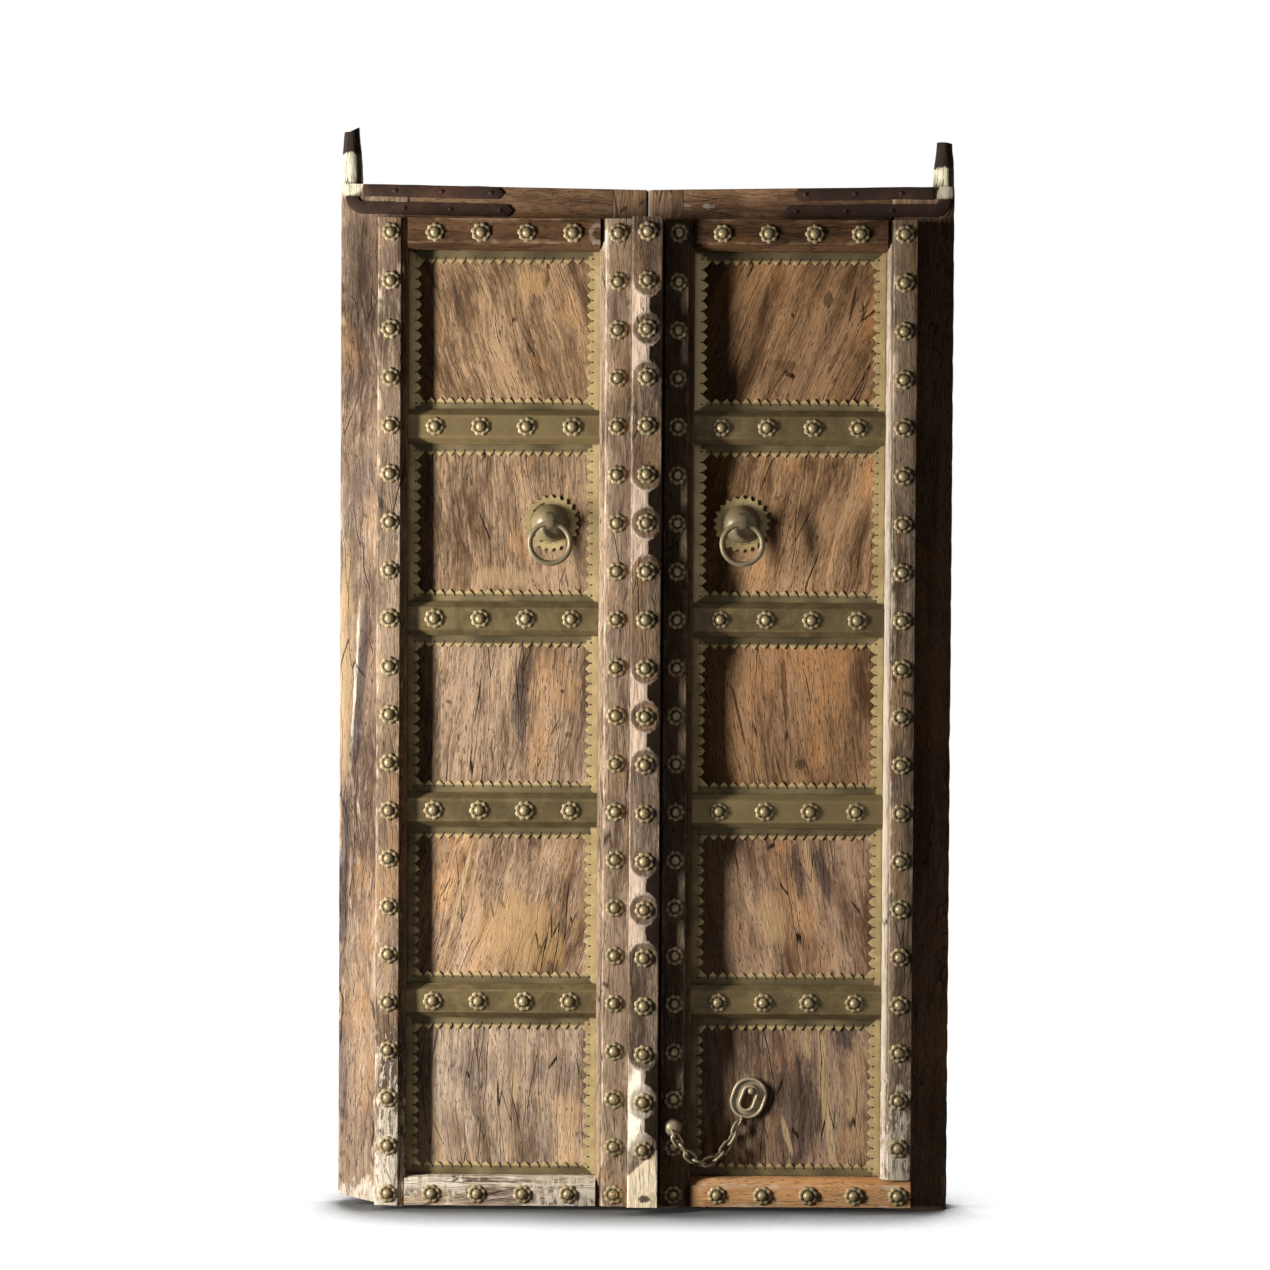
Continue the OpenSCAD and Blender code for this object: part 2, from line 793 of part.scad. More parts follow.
module hasp() {
    color(BRASS) leaf("right") {
        translate([hasp_u, 0, hasp_z])
            rotate([0, hasp_lean, 0])
                difference() {
                    union() {
                        round_plate(hasp_w, hasp_l, hasp_back, hasp_t);
                        hasp_rim(hasp_slot_w + hasp_rim_w * 2, hasp_slot_l + hasp_rim_w * 2);
                    }
                    round_plate(hasp_slot_w, hasp_slot_l, hasp_back + over, hasp_t + hasp_rim_t + over * 2);
                }
        chain_eye(chain_b, -chain_way(link_count - 1));
    }
}

// The chain hangs in a curve from the boss (end a) to the hasp's eye (end b)
chain_boss_u = inner_stud_u("right");
boss_drop_share = 0.67;
chain_a = [chain_boss_u + link_wire_r, -face_t - chain_boss_h - chain_eye_wire_r,
           chain_boss_z - chain_boss_r * boss_drop_share];
hasp_end = hasp_l / 2 + chain_eye_r + chain_eye_wire_r;
chain_b = [hasp_u - hasp_end * sin(hasp_lean), hasp_back - chain_eye_r - chain_eye_wire_r - link_fit,
           hasp_z - hasp_end * cos(hasp_lean)];

CURVE_STEPS = 120;
function curve(t) = chain_a + (chain_b - chain_a) * t - [0, 0, 4 * chain_sag * t * (1 - t)];
curve_points = [for (k = [0 : CURVE_STEPS]) curve(k / CURVE_STEPS)];
function run_to(k) = k == 0 ? 0 : run_to(k - 1) + norm(curve_points[k] - curve_points[k - 1]);
curve_runs = [for (k = [0 : CURVE_STEPS]) run_to(k)];
link_pitch = curve_runs[CURVE_STEPS] / link_count;
run_table = [for (k = [0 : CURVE_STEPS]) [curve_runs[k], k / CURVE_STEPS]];
// The point at a given length along the curve
function curve_at(length) = curve(lookup(length, run_table));
chain_joints = [for (k = [0 : link_count]) curve_at(k * link_pitch)];
function unit(v) = v / norm(v);
function chain_way(k) = unit(chain_joints[k + 1] - chain_joints[k]);

// Turns a piece drawn along +Z to run along a direction in the leaf, with its X level
module along(way) {
    rotate([0, 0, atan2(way[1], way[0]) - 90])
        rotate([-acos(way[2] / norm(way)), 0, 0])
            children();
}

// A ring standing out of the door that the chain's end link hooks on
module chain_eye(joint, way) {
    reach = chain_eye_r - chain_eye_wire_r - link_fit / 2;
    centre = joint - way * reach;
    normal = unit(cross(way, [0, 1, 0]));
    translate(centre)
        along(normal)
            rotate_extrude()
                translate([chain_eye_r, 0])
                    circle(r = chain_eye_wire_r);
}

// An oval link of round wire along +Z, from one joint to the next
module chain_link(length) {
    bow = link_w / 2 - link_wire_r;
    straight = round((length + link_wire_r * 2 + link_fit - bow * 2) / link_step) * link_step;
    for (x = [-bow, bow])
        translate([x, 0, -straight / 2])
            cylinder(r = link_wire_r, h = straight);
    for (turn = [0, 180])
        rotate([0, turn, 0])
            translate([0, 0, straight / 2])
                rotate([90, 0, 0])
                    rotate_extrude(angle = 180)
                        translate([bow, 0])
                            circle(r = link_wire_r);
}

// The links of the given numbers, each turned a quarter from the one before
module links(numbers) {
    color(BRASS) leaf("right")
        for (k = numbers)
            translate((chain_joints[k] + chain_joints[k + 1]) / 2)
                along(chain_way(k))
                    rotate([0, 0, k % 2 == 0 ? 90 : 0])
                        chain_link(norm(chain_joints[k + 1] - chain_joints[k]));
}

// The two end links hang in the eyes, and the links between them swing
module chain_end_links() {
    links([0, link_count - 1]);
}

module chain_links() {
    links([1 : link_count - 2]);
}

// Domed boss whose eye carries the chain
module chain_boss() {
    ball_r = (chain_boss_r * chain_boss_r + chain_boss_h * chain_boss_h) / (chain_boss_h * 2);
    color(BRASS) leaf("right") {
        on_face(chain_boss_u, -face_t, chain_boss_z)
            intersection() {
                translate([0, 0, chain_boss_h - ball_r])
                    sphere(r = ball_r);
                cylinder(r = chain_boss_r + over, h = chain_boss_h + over);
            }
        on_face(chain_boss_u, -face_t + shank_l, chain_boss_z)
            cylinder(r = shank_r, h = shank_l + chain_boss_h / 2);
        chain_eye(chain_a, chain_way(0));
    }
}

function shows(name) = node == "all" || node == name;

node = "all";
NODES = concat(
    [for (s = SIDES) each [
        str(s, "_hinge_stile"), str(s, "_lock_stile"), str(s, "_top_rail"), str(s, "_bottom_rail"),
        str(s, "_inner_face_stile"), str(s, "_outer_face_stile"),
        str(s, "_top_face_rail"), str(s, "_bottom_face_rail"),
        str(s, "_rail_cladding"), str(s, "_panel_edging"),
        str(s, "_rosettes"), str(s, "_stud_nails"), str(s, "_iron_straps"),
        str(s, "_pull_plate"), str(s, "_pull_dome"), str(s, "_pull_staple"), str(s, "_pull_ring")]],
    [for (s = SIDES) each [for (i = [1 : panel_count]) str(s, "_panel_", i)]],
    [for (s = SIDES) each [for (i = [1 : panel_count - 1]) str(s, "_cross_rail_", i)]],
    ["meeting_stile", "hasp_peg", "hasp", "chain_end_links", "chain_links", "chain_boss"]);

for (s = SIDES) {
    if (shows(str(s, "_hinge_stile"))) hinge_stile(s);
    if (shows(str(s, "_lock_stile"))) lock_stile(s);
    if (shows(str(s, "_top_rail"))) top_rail(s);
    if (shows(str(s, "_bottom_rail"))) bottom_rail(s);
    if (shows(str(s, "_inner_face_stile"))) inner_face_stile(s);
    if (shows(str(s, "_outer_face_stile"))) outer_face_stile(s);
    if (shows(str(s, "_top_face_rail"))) top_face_rail(s);
    if (shows(str(s, "_bottom_face_rail"))) bottom_face_rail(s);
    if (shows(str(s, "_rail_cladding"))) rail_cladding(s);
    if (shows(str(s, "_panel_edging"))) panel_edging(s);
    if (shows(str(s, "_rosettes"))) rosettes(s);
    if (shows(str(s, "_stud_nails"))) stud_nails(s);
    if (shows(str(s, "_iron_straps"))) iron_straps(s);
    if (shows(str(s, "_pull_plate"))) pull_plate(s);
    if (shows(str(s, "_pull_dome"))) pull_dome(s);
    if (shows(str(s, "_pull_staple"))) pull_staple(s);
    if (shows(str(s, "_pull_ring"))) pull_ring(s);
    for (i = [1 : panel_count])
        if (shows(str(s, "_panel_", i))) panel(s, i);
    for (i = [1 : panel_count - 1])
        if (shows(str(s, "_cross_rail_", i))) cross_rail(s, i);
}
if (shows("meeting_stile")) meeting_stile();
if (shows("hasp_peg")) hasp_peg();
if (shows("hasp")) hasp();
if (shows("chain_end_links")) chain_end_links();
if (shows("chain_links")) chain_links();
if (shows("chain_boss")) chain_boss();
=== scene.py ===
"""Dresses a pair of old teak door leaves: hand-worn timber, brass sheets and studs, iron straps, pulls and a hasp."""

import logging
import math
import random
from dataclasses import dataclass, field
from enum import Enum
from typing import Callable, Iterable, Optional, Sequence, Union

import bmesh
import bpy
from mathutils import Matrix, Vector, noise


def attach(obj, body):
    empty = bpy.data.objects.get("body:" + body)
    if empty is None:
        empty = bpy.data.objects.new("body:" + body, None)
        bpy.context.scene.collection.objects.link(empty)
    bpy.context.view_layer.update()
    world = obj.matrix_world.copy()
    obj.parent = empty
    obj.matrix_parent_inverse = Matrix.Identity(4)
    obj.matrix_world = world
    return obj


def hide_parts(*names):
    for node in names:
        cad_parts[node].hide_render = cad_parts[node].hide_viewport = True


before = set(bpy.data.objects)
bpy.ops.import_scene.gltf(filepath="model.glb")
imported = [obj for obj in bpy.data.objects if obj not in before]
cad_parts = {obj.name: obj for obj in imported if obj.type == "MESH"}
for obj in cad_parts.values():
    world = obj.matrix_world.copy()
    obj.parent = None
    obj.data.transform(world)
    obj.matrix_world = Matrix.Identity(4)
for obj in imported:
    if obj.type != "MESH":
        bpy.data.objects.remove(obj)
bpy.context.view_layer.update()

log = logging.getLogger("teak_door")

Colour = tuple[float, float, float]
Point2 = tuple[float, float]
Span = tuple[float, float]

MM = 0.001
METRES = Matrix.Scale(MM, 4)
IMAGE_PX = 1270

# Sizes of the leaves, in millimetres, as the part has them
FRONT_Y = 12.45
LEAF_W, LEAF_H, TOP_RISE = 570.0, 1900.0, 9.0
BASE_T, FACE_T = 48.0, 30.0
LOCK_OUT, LOCK_IN, HINGE_IN = 2.0, 66.0, 452.0
OPEN_IN, OPEN_OUT, FACE_OUT = 88.0, 444.0, 499.0
OPEN_BOTTOM, OPEN_TOP, FACE_FOOT, FACE_TOP = 61.0, 1786.0, 9.0, 1843.0
BASE_BOTTOM, BASE_TOP = 53.0, 1794.0
PANEL_H, BAY, PANEL_SET, PANEL_T = 297.0, 357.0, 5.0, 16.0
PANELS = range(1, 6)
STUD_Z = [31.0 + 89.25 * k for k in range(21)]
RAIL_Z = [1459.0, 1102.0, 745.0, 388.0]
RAIL_HALF, RAIL_PROUD, SHEET_T = 30.0, 10.0, 1.2
RAIL_STUD_U = [138.5, 223.5, 308.5, 393.5]
OUTER_STUD_U = 475.0
MEETING_HALF, MEETING_T = 28.0, 60.0
HORN_U = 553.0
FIT = 0.3


class Side(Enum):
    """Which leaf a piece is on; the value is the sign of x."""

    LEFT = -1
    RIGHT = 1

    @property
    def word(self) -> str:
        """The side as the nodes name it."""
        return self.name.lower()

    @property
    def body(self) -> str:
        """The body that this leaf's fixed pieces ride on."""
        return f"{self.word}_leaf"

    @property
    def face_in(self) -> float:
        """Where the inner face stile begins, outwards from the meeting line."""
        return MEETING_HALF + (0.0 if self is Side.LEFT else 5.0)

    @property
    def inner_stud_u(self) -> float:
        """Middle of the inner face stile's stud column."""
        return 54.5 if self is Side.LEFT else 57.0

    @property
    def horn_h(self) -> float:
        """How far the horn stands above the leaf."""
        return 116.0 if self is Side.LEFT else 94.0

    @property
    def matrix(self) -> Matrix:
        """Leaf space (outwards, back, up, in millimetres) to the row frame in metres."""
        scale = Matrix.Diagonal((self.value * MM, MM, MM, 1.0))
        return Matrix.Translation((0.0, FRONT_Y * MM, 0.0)) @ scale


class Way(Enum):
    """Which way a length of timber or sheet runs."""

    UP = "up"
    ACROSS = "across"

    def point(self, a: float, b: float, run: float) -> Vector:
        """A section's point (outwards and back, or back and up) at a run along the bar, in leaf space."""
        return Vector((a, b, run)) if self is Way.UP else Vector((run, a, b))


class Sock:
    """A shader socket whose sums and products add Math nodes."""

    def __init__(self, bench: "Bench", socket: bpy.types.NodeSocket) -> None:
        """Wraps a socket of a bench's tree."""
        self.bench = bench
        self.socket = socket

    def __add__(self, other: "Value") -> "Sock":
        """Sum."""
        return self.bench.math("ADD", self, other)

    def __radd__(self, other: "Value") -> "Sock":
        """Sum, number first."""
        return self.bench.math("ADD", other, self)

    def __sub__(self, other: "Value") -> "Sock":
        """Difference."""
        return self.bench.math("SUBTRACT", self, other)

    def __rsub__(self, other: "Value") -> "Sock":
        """Difference, number first."""
        return self.bench.math("SUBTRACT", other, self)

    def __mul__(self, other: "Value") -> "Sock":
        """Product."""
        return self.bench.math("MULTIPLY", self, other)

    def __rmul__(self, other: "Value") -> "Sock":
        """Product, number first."""
        return self.bench.math("MULTIPLY", other, self)

    def __truediv__(self, other: "Value") -> "Sock":
        """Quotient."""
        return self.bench.math("DIVIDE", self, other)

    def __rtruediv__(self, other: "Value") -> "Sock":
        """Quotient, number first."""
        return self.bench.math("DIVIDE", other, self)


Value = Union[Sock, float]


class Bench:
    """Adds nodes to one tree."""

    def __init__(self, tree: bpy.types.NodeTree) -> None:
        """Empties the tree."""
        self.tree = tree
        tree.nodes.clear()

    def node(self, kind: str, settings: Optional[dict] = None, sockets: Optional[dict] = None,
             out: Union[int, str] = 0) -> Sock:
        """Adds one node.

        Args:
            kind: The node's type.
            settings: Properties that are set first.
            sockets: Values or links of its inputs, by name or number.
            out: Which output is returned.

        Returns:
            The chosen output.
        """
        made = self.tree.nodes.new(kind)
        for key, value in (settings or {}).items():
            setattr(made, key, value)
        for key, value in (sockets or {}).items():
            if isinstance(value, Sock):
                self.tree.links.new(value.socket, made.inputs[key])
            else:
                made.inputs[key].default_value = value
        return Sock(self, made.outputs[out])

    def math(self, operation: str, a: Value, b: Value = 0.0) -> Sock:
        """One Math node."""
        return self.node("ShaderNodeMath", {"operation": operation}, {0: a, 1: b})

    def ramp(self, value: Value, low: float, high: float) -> Sock:
        """A smooth step from 0 at low to 1 at high."""
        return self.node("ShaderNodeMapRange", {"interpolation_type": "SMOOTHSTEP"},
                         {"Value": value, "From Min": low, "From Max": high})

    def mix(self, a: Union[Sock, Colour], b: Union[Sock, Colour], share: Value, blend: str = "MIX") -> Sock:
        """A colour between a and b."""
        a, b = (c if isinstance(c, Sock) else (*c, 1.0) for c in (a, b))
        return self.node("ShaderNodeMix", {"data_type": "RGBA", "blend_type": blend}, {0: share, 6: a, 7: b}, 2)

    def noise(self, vector: Sock, scale: float, detail: float = 3.0, rough: float = 0.55,
              distortion: float = 0.0) -> Sock:
        """Smooth noise about 0.5."""
        return self.node("ShaderNodeTexNoise", None, {"Vector": vector, "Scale": scale, "Detail": detail,
                                                      "Roughness": rough, "Distortion": distortion})

    def split(self, vector: Sock) -> tuple[Sock, Sock, Sock]:
        """A vector's three parts."""
        made = self.node("ShaderNodeSeparateXYZ", None, {0: vector}).socket.node
        return tuple(Sock(self, made.outputs[k]) for k in range(3))

    def join(self, x: Value, y: Value, z: Value) -> Sock:
        """A vector from its parts."""
        return self.node("ShaderNodeCombineXYZ", None, {0: x, 1: y, 2: z})

    def attribute(self, name: str) -> Sock:
        """A number that the mesh carries at its points."""
        return self.node("ShaderNodeAttribute", {"attribute_name": name}, None, "Fac")

    def surface(self, settings: dict, height: Optional[Sock] = None, relief: float = 0.001,
                strength: float = 0.5) -> None:
        """Ends a material in a Principled shader.

        Args:
            settings: The shader's sockets.
            height: What stands out of the surface.
            relief: How far, in metres.
            strength: Share of the bump that is used.
        """
        sockets = dict(settings)
        if height is not None:
            sockets["Normal"] = self.node("ShaderNodeBump", None, {"Strength": strength, "Distance": relief,
                                                                   "Height": height})
        self.output(self.node("ShaderNodeBsdfPrincipled", None, sockets))

    def output(self, shader: Sock, kind: str = "ShaderNodeOutputMaterial") -> None:
        """Links a shader to the tree's output."""
        made = self.tree.nodes.new(kind)
        self.tree.links.new(shader.socket, made.inputs["Surface"])

    def background_seen(self) -> Sock:
        """Which rays meet the white background.

        Returns:
            1 for the camera's, glossy and transmission rays, 0 for the rest.
        """
        path = self.node("ShaderNodeLightPath").socket.node
        seen = Sock(self, path.outputs["Is Camera Ray"])
        for other in ("Is Glossy Ray", "Is Transmission Ray"):
            seen = self.math("MAXIMUM", seen, Sock(self, path.outputs[other]))
        return seen


def new_material(name: str) -> tuple[bpy.types.Material, Bench]:
    """Starts a material.

    Args:
        name: The material's name.

    Returns:
        The material and its bench.
    """
    made = bpy.data.materials.new(name)
    made.use_nodes = True
    return made, Bench(made.node_tree)


class Mark(Enum):
    """The outline of a patch on timber."""

    BLOT = "blot"
    RING = "ring"
    BELOW = "below"


@dataclass(frozen=True)
class Patch:
    """A patch of paint, wear or bare wood, placed on the front in millimetres.

    A blot or ring has its middle at (x, z) and its half sizes in size, and leans by turn degrees; below is
    everything under the line through (x, z) that climbs by size[0] for each unit outwards. Ragged is how far the
    edge strays, and grain how fine its raggedness is.
    """

    mark: Mark
    x: float
    z: float
    size: Point2
    colour: Colour
    cover: float = 1.0
    ragged: float = 0.5
    grain: float = 60.0
    turn: float = 0.0
    blur: float = 0.25
    blend: str = "MIX"
    rim: float = 0.9
    spread: float = 3.4
    line_scale: float = 60.0
    line_blur: float = 0.12
    ring_narrow: float = 3.2

    def mask(self, bench: Bench, place: Sock) -> Sock:
        """How much of the patch covers each point.

        Args:
            bench: The material's bench.
            place: Object coordinates.

        Returns:
            A share from 0 to 1.
        """
        x, _, z = bench.split(place)
        streaks = bench.join(x, 0.0, z * 0.3)
        edge = (bench.noise(streaks, self.grain, 5.0, 0.7) - 0.5) * (self.ragged * self.spread)
        if self.mark is Mark.BELOW:
            line = (self.z * MM - z + (x - self.x * MM) * self.size[0]) * self.line_scale
            return bench.ramp(line + edge, -self.line_blur, self.line_blur) * self.cover
        x, z = x - self.x * MM, z - self.z * MM
        along, aside = math.cos(math.radians(self.turn)), math.sin(math.radians(self.turn))
        a = (x * along - z * aside) / (self.size[0] * MM)
        b = (z * along + x * aside) / (self.size[1] * MM)
        reach = bench.math("SQRT", a * a + b * b)
        if self.mark is Mark.RING:
            reach = bench.math("ABSOLUTE", reach - 1.0) * self.ring_narrow
        return (1.0 - bench.ramp(reach + edge, self.rim - self.blur, self.rim + self.blur)) * self.cover


@dataclass(frozen=True)
class TeakFinish:
    """Weathered teak: bands and fine grain along the timber, stains, cracks, pale wear and patches."""

    name: str
    dark: Colour
    light: Colour
    worn: Colour = (0.58, 0.47, 0.35)
    stain: Colour = (0.055, 0.045, 0.042)
    across: bool = False
    lean: float = 0.0
    seed: float = 0.0
    stains: float = 0.35
    cracks: float = 0.8
    bleach: float = 0.35
    sway: float = 0.035
    gloss: float = 0.06
    patches: tuple[Patch, ...] = ()

    def material(self) -> bpy.types.Material:
        """Builds the shader.

        Returns:
            The new material.
        """
        made, b = new_material(self.name)
        place = b.node("ShaderNodeTexCoord", None, None, "Object")
        turn = math.radians(self.lean + (90.0 if self.across else 0.0))
        shift = (self.seed * 1.37, self.seed * 0.71, self.seed * 2.13)
        local = b.node("ShaderNodeMapping", None, {"Vector": place, "Location": shift, "Rotation": (0.0, turn, 0.0)})
        x, y, z = b.split(local)
        x = x + (b.noise(local, 5.0, 2.0) - 0.5) * self.sway
        bands = b.noise(b.join(x, y, z * 0.12), 26.0, 3.0, 0.6, 0.6)
        lines = b.noise(b.join(x, y, z * 0.10), 205.0, 4.0, 0.72, 0.25)
        dashes = b.noise(b.join(x, y, z * 0.15), 430.0, 2.0, 0.6)
        clouds = b.noise(b.join(x, y, z * 0.35), 7.0, 4.0, 0.62, 0.5)
        warmth = b.noise(b.join(x, y, z * 0.45), 10.5, 3.0, 0.6)
        tone = b.ramp(bands * 0.36 + lines * 0.36 + clouds * 0.38, 0.44, 0.67)
        colour = b.mix(self.dark, self.light, tone)
        honey = tuple(c * k for c, k in zip(self.light, (1.2, 1.0, 0.72)))
        colour = b.mix(colour, honey, b.ramp(warmth, 0.50, 0.72) * 0.55)
        pores = b.ramp(dashes + (lines - 0.5) * 0.5, 0.54, 0.72)
        colour = b.mix(colour, tuple(c * 0.40 for c in self.dark), pores * 0.8)
        blue = b.ramp(clouds + (lines - 0.5) * 0.5, 0.56, 0.76) * self.stains
        colour = b.mix(colour, self.stain, blue)
        grey = b.noise(b.join(x, y, z * 0.18), 15.0, 6.0, 0.74)
        pale = b.ramp(grey + (lines - 0.5) * 0.8, 0.53, 0.78) * self.bleach
        colour = b.mix(colour, self.worn, pale)
        # Pale where the wear layer says so: real rubbing, and on the meeting stile's shaded chamfers partly painted
        # light
        edge = b.attribute("wear")
        rub = b.ramp(edge + (lines - 0.5) * 0.8 + (grey - 0.5) * 0.7, 0.30, 0.95)
        colour = b.mix(colour, self.worn, rub * 0.75)
        coat = None
        for patch in self.patches:
            cover = patch.mask(b, place)
            shade = b.mix(patch.colour, tuple(c * 0.6 for c in patch.colour), b.ramp(lines, 0.42, 0.66))
            colour = b.mix(colour, shade, cover, patch.blend)
            coat = cover if coat is None else b.math("MAXIMUM", coat, cover)
        far = b.node("ShaderNodeTexVoronoi", {"feature": "DISTANCE_TO_EDGE"},
                     {"Vector": b.join(x, y, z * 0.07), "Scale": 58.0, "Randomness": 1.0}, "Distance")
        torn = b.ramp(b.noise(b.join(x, y, z * 0.25), 22.0, 2.0), 0.45, 0.60) * self.cracks
        crack = (1.0 - b.ramp(far + (dashes - 0.5) * 0.05, 0.002, 0.026)) * torn
        colour = b.mix(colour, tuple(c * 0.18 for c in self.dark), crack)
        height = lines * 0.95 + bands * 0.25 - pores * 0.35 - crack * 0.9
        if coat is not None:
            height = height + coat * 0.2
        rough = 0.62 + lines * 0.22 - rub * 0.06
        b.surface({"Base Color": colour, "Roughness": rough, "Specular IOR Level": self.gloss}, height, 0.0018, 0.7)
        return made


@dataclass(frozen=True)
class BrassFinish:
    """Aged brass: a bright metal under an uneven brown and olive skin, with dents and rubbed edges, and with light and
    shade painted in through the wear layer.
    """

    name: str
    bright: Colour = (0.52, 0.42, 0.24)
    skin: Colour = (0.165, 0.118, 0.055)
    # Colour of dirt, also used as painted shade
    dirt: Colour = (0.035, 0.025, 0.012)
    aged: float = 0.75
    rough: float = 0.40
    scale: float = 22.0
    dents: float = 0.4
    soil: float = 0.5
    metal: float = 1.0
    seed: float = 0.0

    def material(self) -> bpy.types.Material:
        """Builds the shader.

        Returns:
            The new material.
        """
        made, b = new_material(self.name)
        place = b.node("ShaderNodeTexCoord", None, None, "Object")
        local = b.node("ShaderNodeMapping", None, {"Vector": place, "Location": (self.seed, self.seed * 0.7, 0.0)})
        cloud = b.noise(local, self.scale, 5.0, 0.62, 0.6)
        fine = b.noise(local, self.scale * 14.0, 3.0, 0.6)
        beaten = b.noise(local, 95.0, 2.0, 0.5)
        edge = b.attribute("wear")
        # Paler where the wear layer is above zero: real rubbing, and painted light on the lit edging strips
        rub = b.ramp(edge + (fine - 0.5) * 0.4, 0.25, 0.9)
        skin = b.ramp(cloud + (fine - 0.5) * 0.3, 0.22, 0.66) * self.aged * (1.0 - rub * 0.8)
        colour = b.mix(self.bright, self.skin, skin)
        # Spots of dirt; below zero in the wear layer, dirt in hollows and painted shade on the shaded edging strips
        spots = b.ramp(b.noise(local, self.scale * 2.3, 4.0, 0.7), 0.58, 0.80) * self.soil
        dirt_and_painted_shade = b.math("MAXIMUM", spots, b.ramp(edge * -1.0, 0.1, 0.8))
        colour = b.mix(colour, self.dirt, dirt_and_painted_shade)
        metal = (1.0 - skin * 0.45 - dirt_and_painted_shade * 0.4) * self.metal
        rough = self.rough + skin * 0.14 + dirt_and_painted_shade * 0.2 + (fine - 0.5) * 0.12
        b.surface({"Base Color": colour, "Metallic": metal, "Specular IOR Level": 0.2, "Roughness": rough},
                  beaten * self.dents + fine * 0.12, 0.0012, 0.4)
        return made


@dataclass(frozen=True)
class IronFinish:
    """Forged iron: nearly black, with brown rust in clouds and a beaten face."""

    name: str
    body: Colour = (0.029, 0.017, 0.0125)
    rust: Colour = (0.077, 0.037, 0.022)
    seed: float = 0.0

    def material(self) -> bpy.types.Material:
        """Builds the shader.

        Returns:
            The new material.
        """
        made, b = new_material(self.name)
        place = b.node("ShaderNodeTexCoord", None, None, "Object")
        local = b.node("ShaderNodeMapping", None, {"Vector": place, "Location": (self.seed, 0.0, self.seed)})
        cloud = b.noise(local, 28.0, 6.0, 0.68, 0.4)
        fine = b.noise(local, 420.0, 3.0, 0.6)
        beaten = b.noise(local, 110.0, 2.0, 0.5)
        rust = b.ramp(cloud + (fine - 0.5) * 0.4, 0.42, 0.70)
        colour = b.mix(self.body, self.rust, rust * 0.8)
        b.surface({"Base Color": colour, "Metallic": 0.12 - rust * 0.1, "Roughness": 0.55 + rust * 0.25,
                   "Specular IOR Level": 0.12}, beaten * 0.6 + fine * 0.25, 0.0012, 0.5)
        return made


def add_piece(name: str, shape: bmesh.types.BMesh, place: Matrix, body: str, material: bpy.types.Material,
              stands_for: Sequence[str] = (), crease: float = 38.0) -> None:
    """Makes an object of a finished mesh and puts it on its body.

    Args:
        name: The piece's name.
        shape: Its mesh in millimetres; it is freed.
        place: Takes the mesh to the row frame in metres.
        body: The body that it moves with.
        material: Its finish.
        stands_for: Nodes that it replaces.
        crease: Edges that turn by more degrees than this stay sharp.
    """
    bmesh.ops.transform(shape, matrix=place, verts=shape.verts)
    bmesh.ops.recalc_face_normals(shape, faces=shape.faces)
    mesh = bpy.data.meshes.new(name)
    shape.to_mesh(mesh)
    shape.free()
    mesh.shade_smooth()
    mesh.set_sharp_from_angle(angle=math.radians(crease))
    mesh.materials.append(material)
    made = bpy.data.objects.new(name, mesh)
    bpy.context.scene.collection.objects.link(made)
    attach(made, body)
    if stands_for:
        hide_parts(*stands_for)
    log.info("%s: %d faces on %s", name, len(mesh.polygons), body)


def merge_into(whole: bmesh.types.BMesh, part: bmesh.types.BMesh) -> None:
    """Adds a mesh to another.

    Args:
        whole: The mesh that grows.
        part: The mesh that is added; it is freed.
    """
    mesh = bpy.data.meshes.new("part")
    part.to_mesh(mesh)
    part.free()
    whole.from_mesh(mesh)
    bpy.data.meshes.remove(mesh)


def rubbed(shape: bmesh.types.BMesh) -> bmesh.types.BMLayerItem:
    """The layer that says how worn each point is, and where light and shade are painted in: paler above zero, and on
    brass darker below zero.
    """
    layers = shape.verts.layers.float
    return layers.get("wear") or layers.new("wear")


def dent(shape: bmesh.types.BMesh, depth: float, size: float, seed: float) -> None:
    """Pushes a mesh in millimetres in and out along its normals.

    Args:
        shape: The mesh.
        depth: The most that a point moves.
        size: Width of a dent.
        seed: Makes each piece differ.
    """
    shape.normal_update()
    for v in shape.verts:
        v.co += v.normal * depth * noise.noise(v.co / size + Vector((seed, seed * 0.3, 7.0)))


# Width of the knocks on an arris, how its noise is shifted, and its share
KNOCKS = ((61.0, 1.0, 0.4), (23.0, -1.0, 0.45), (9.0, 0.7, 0.4))


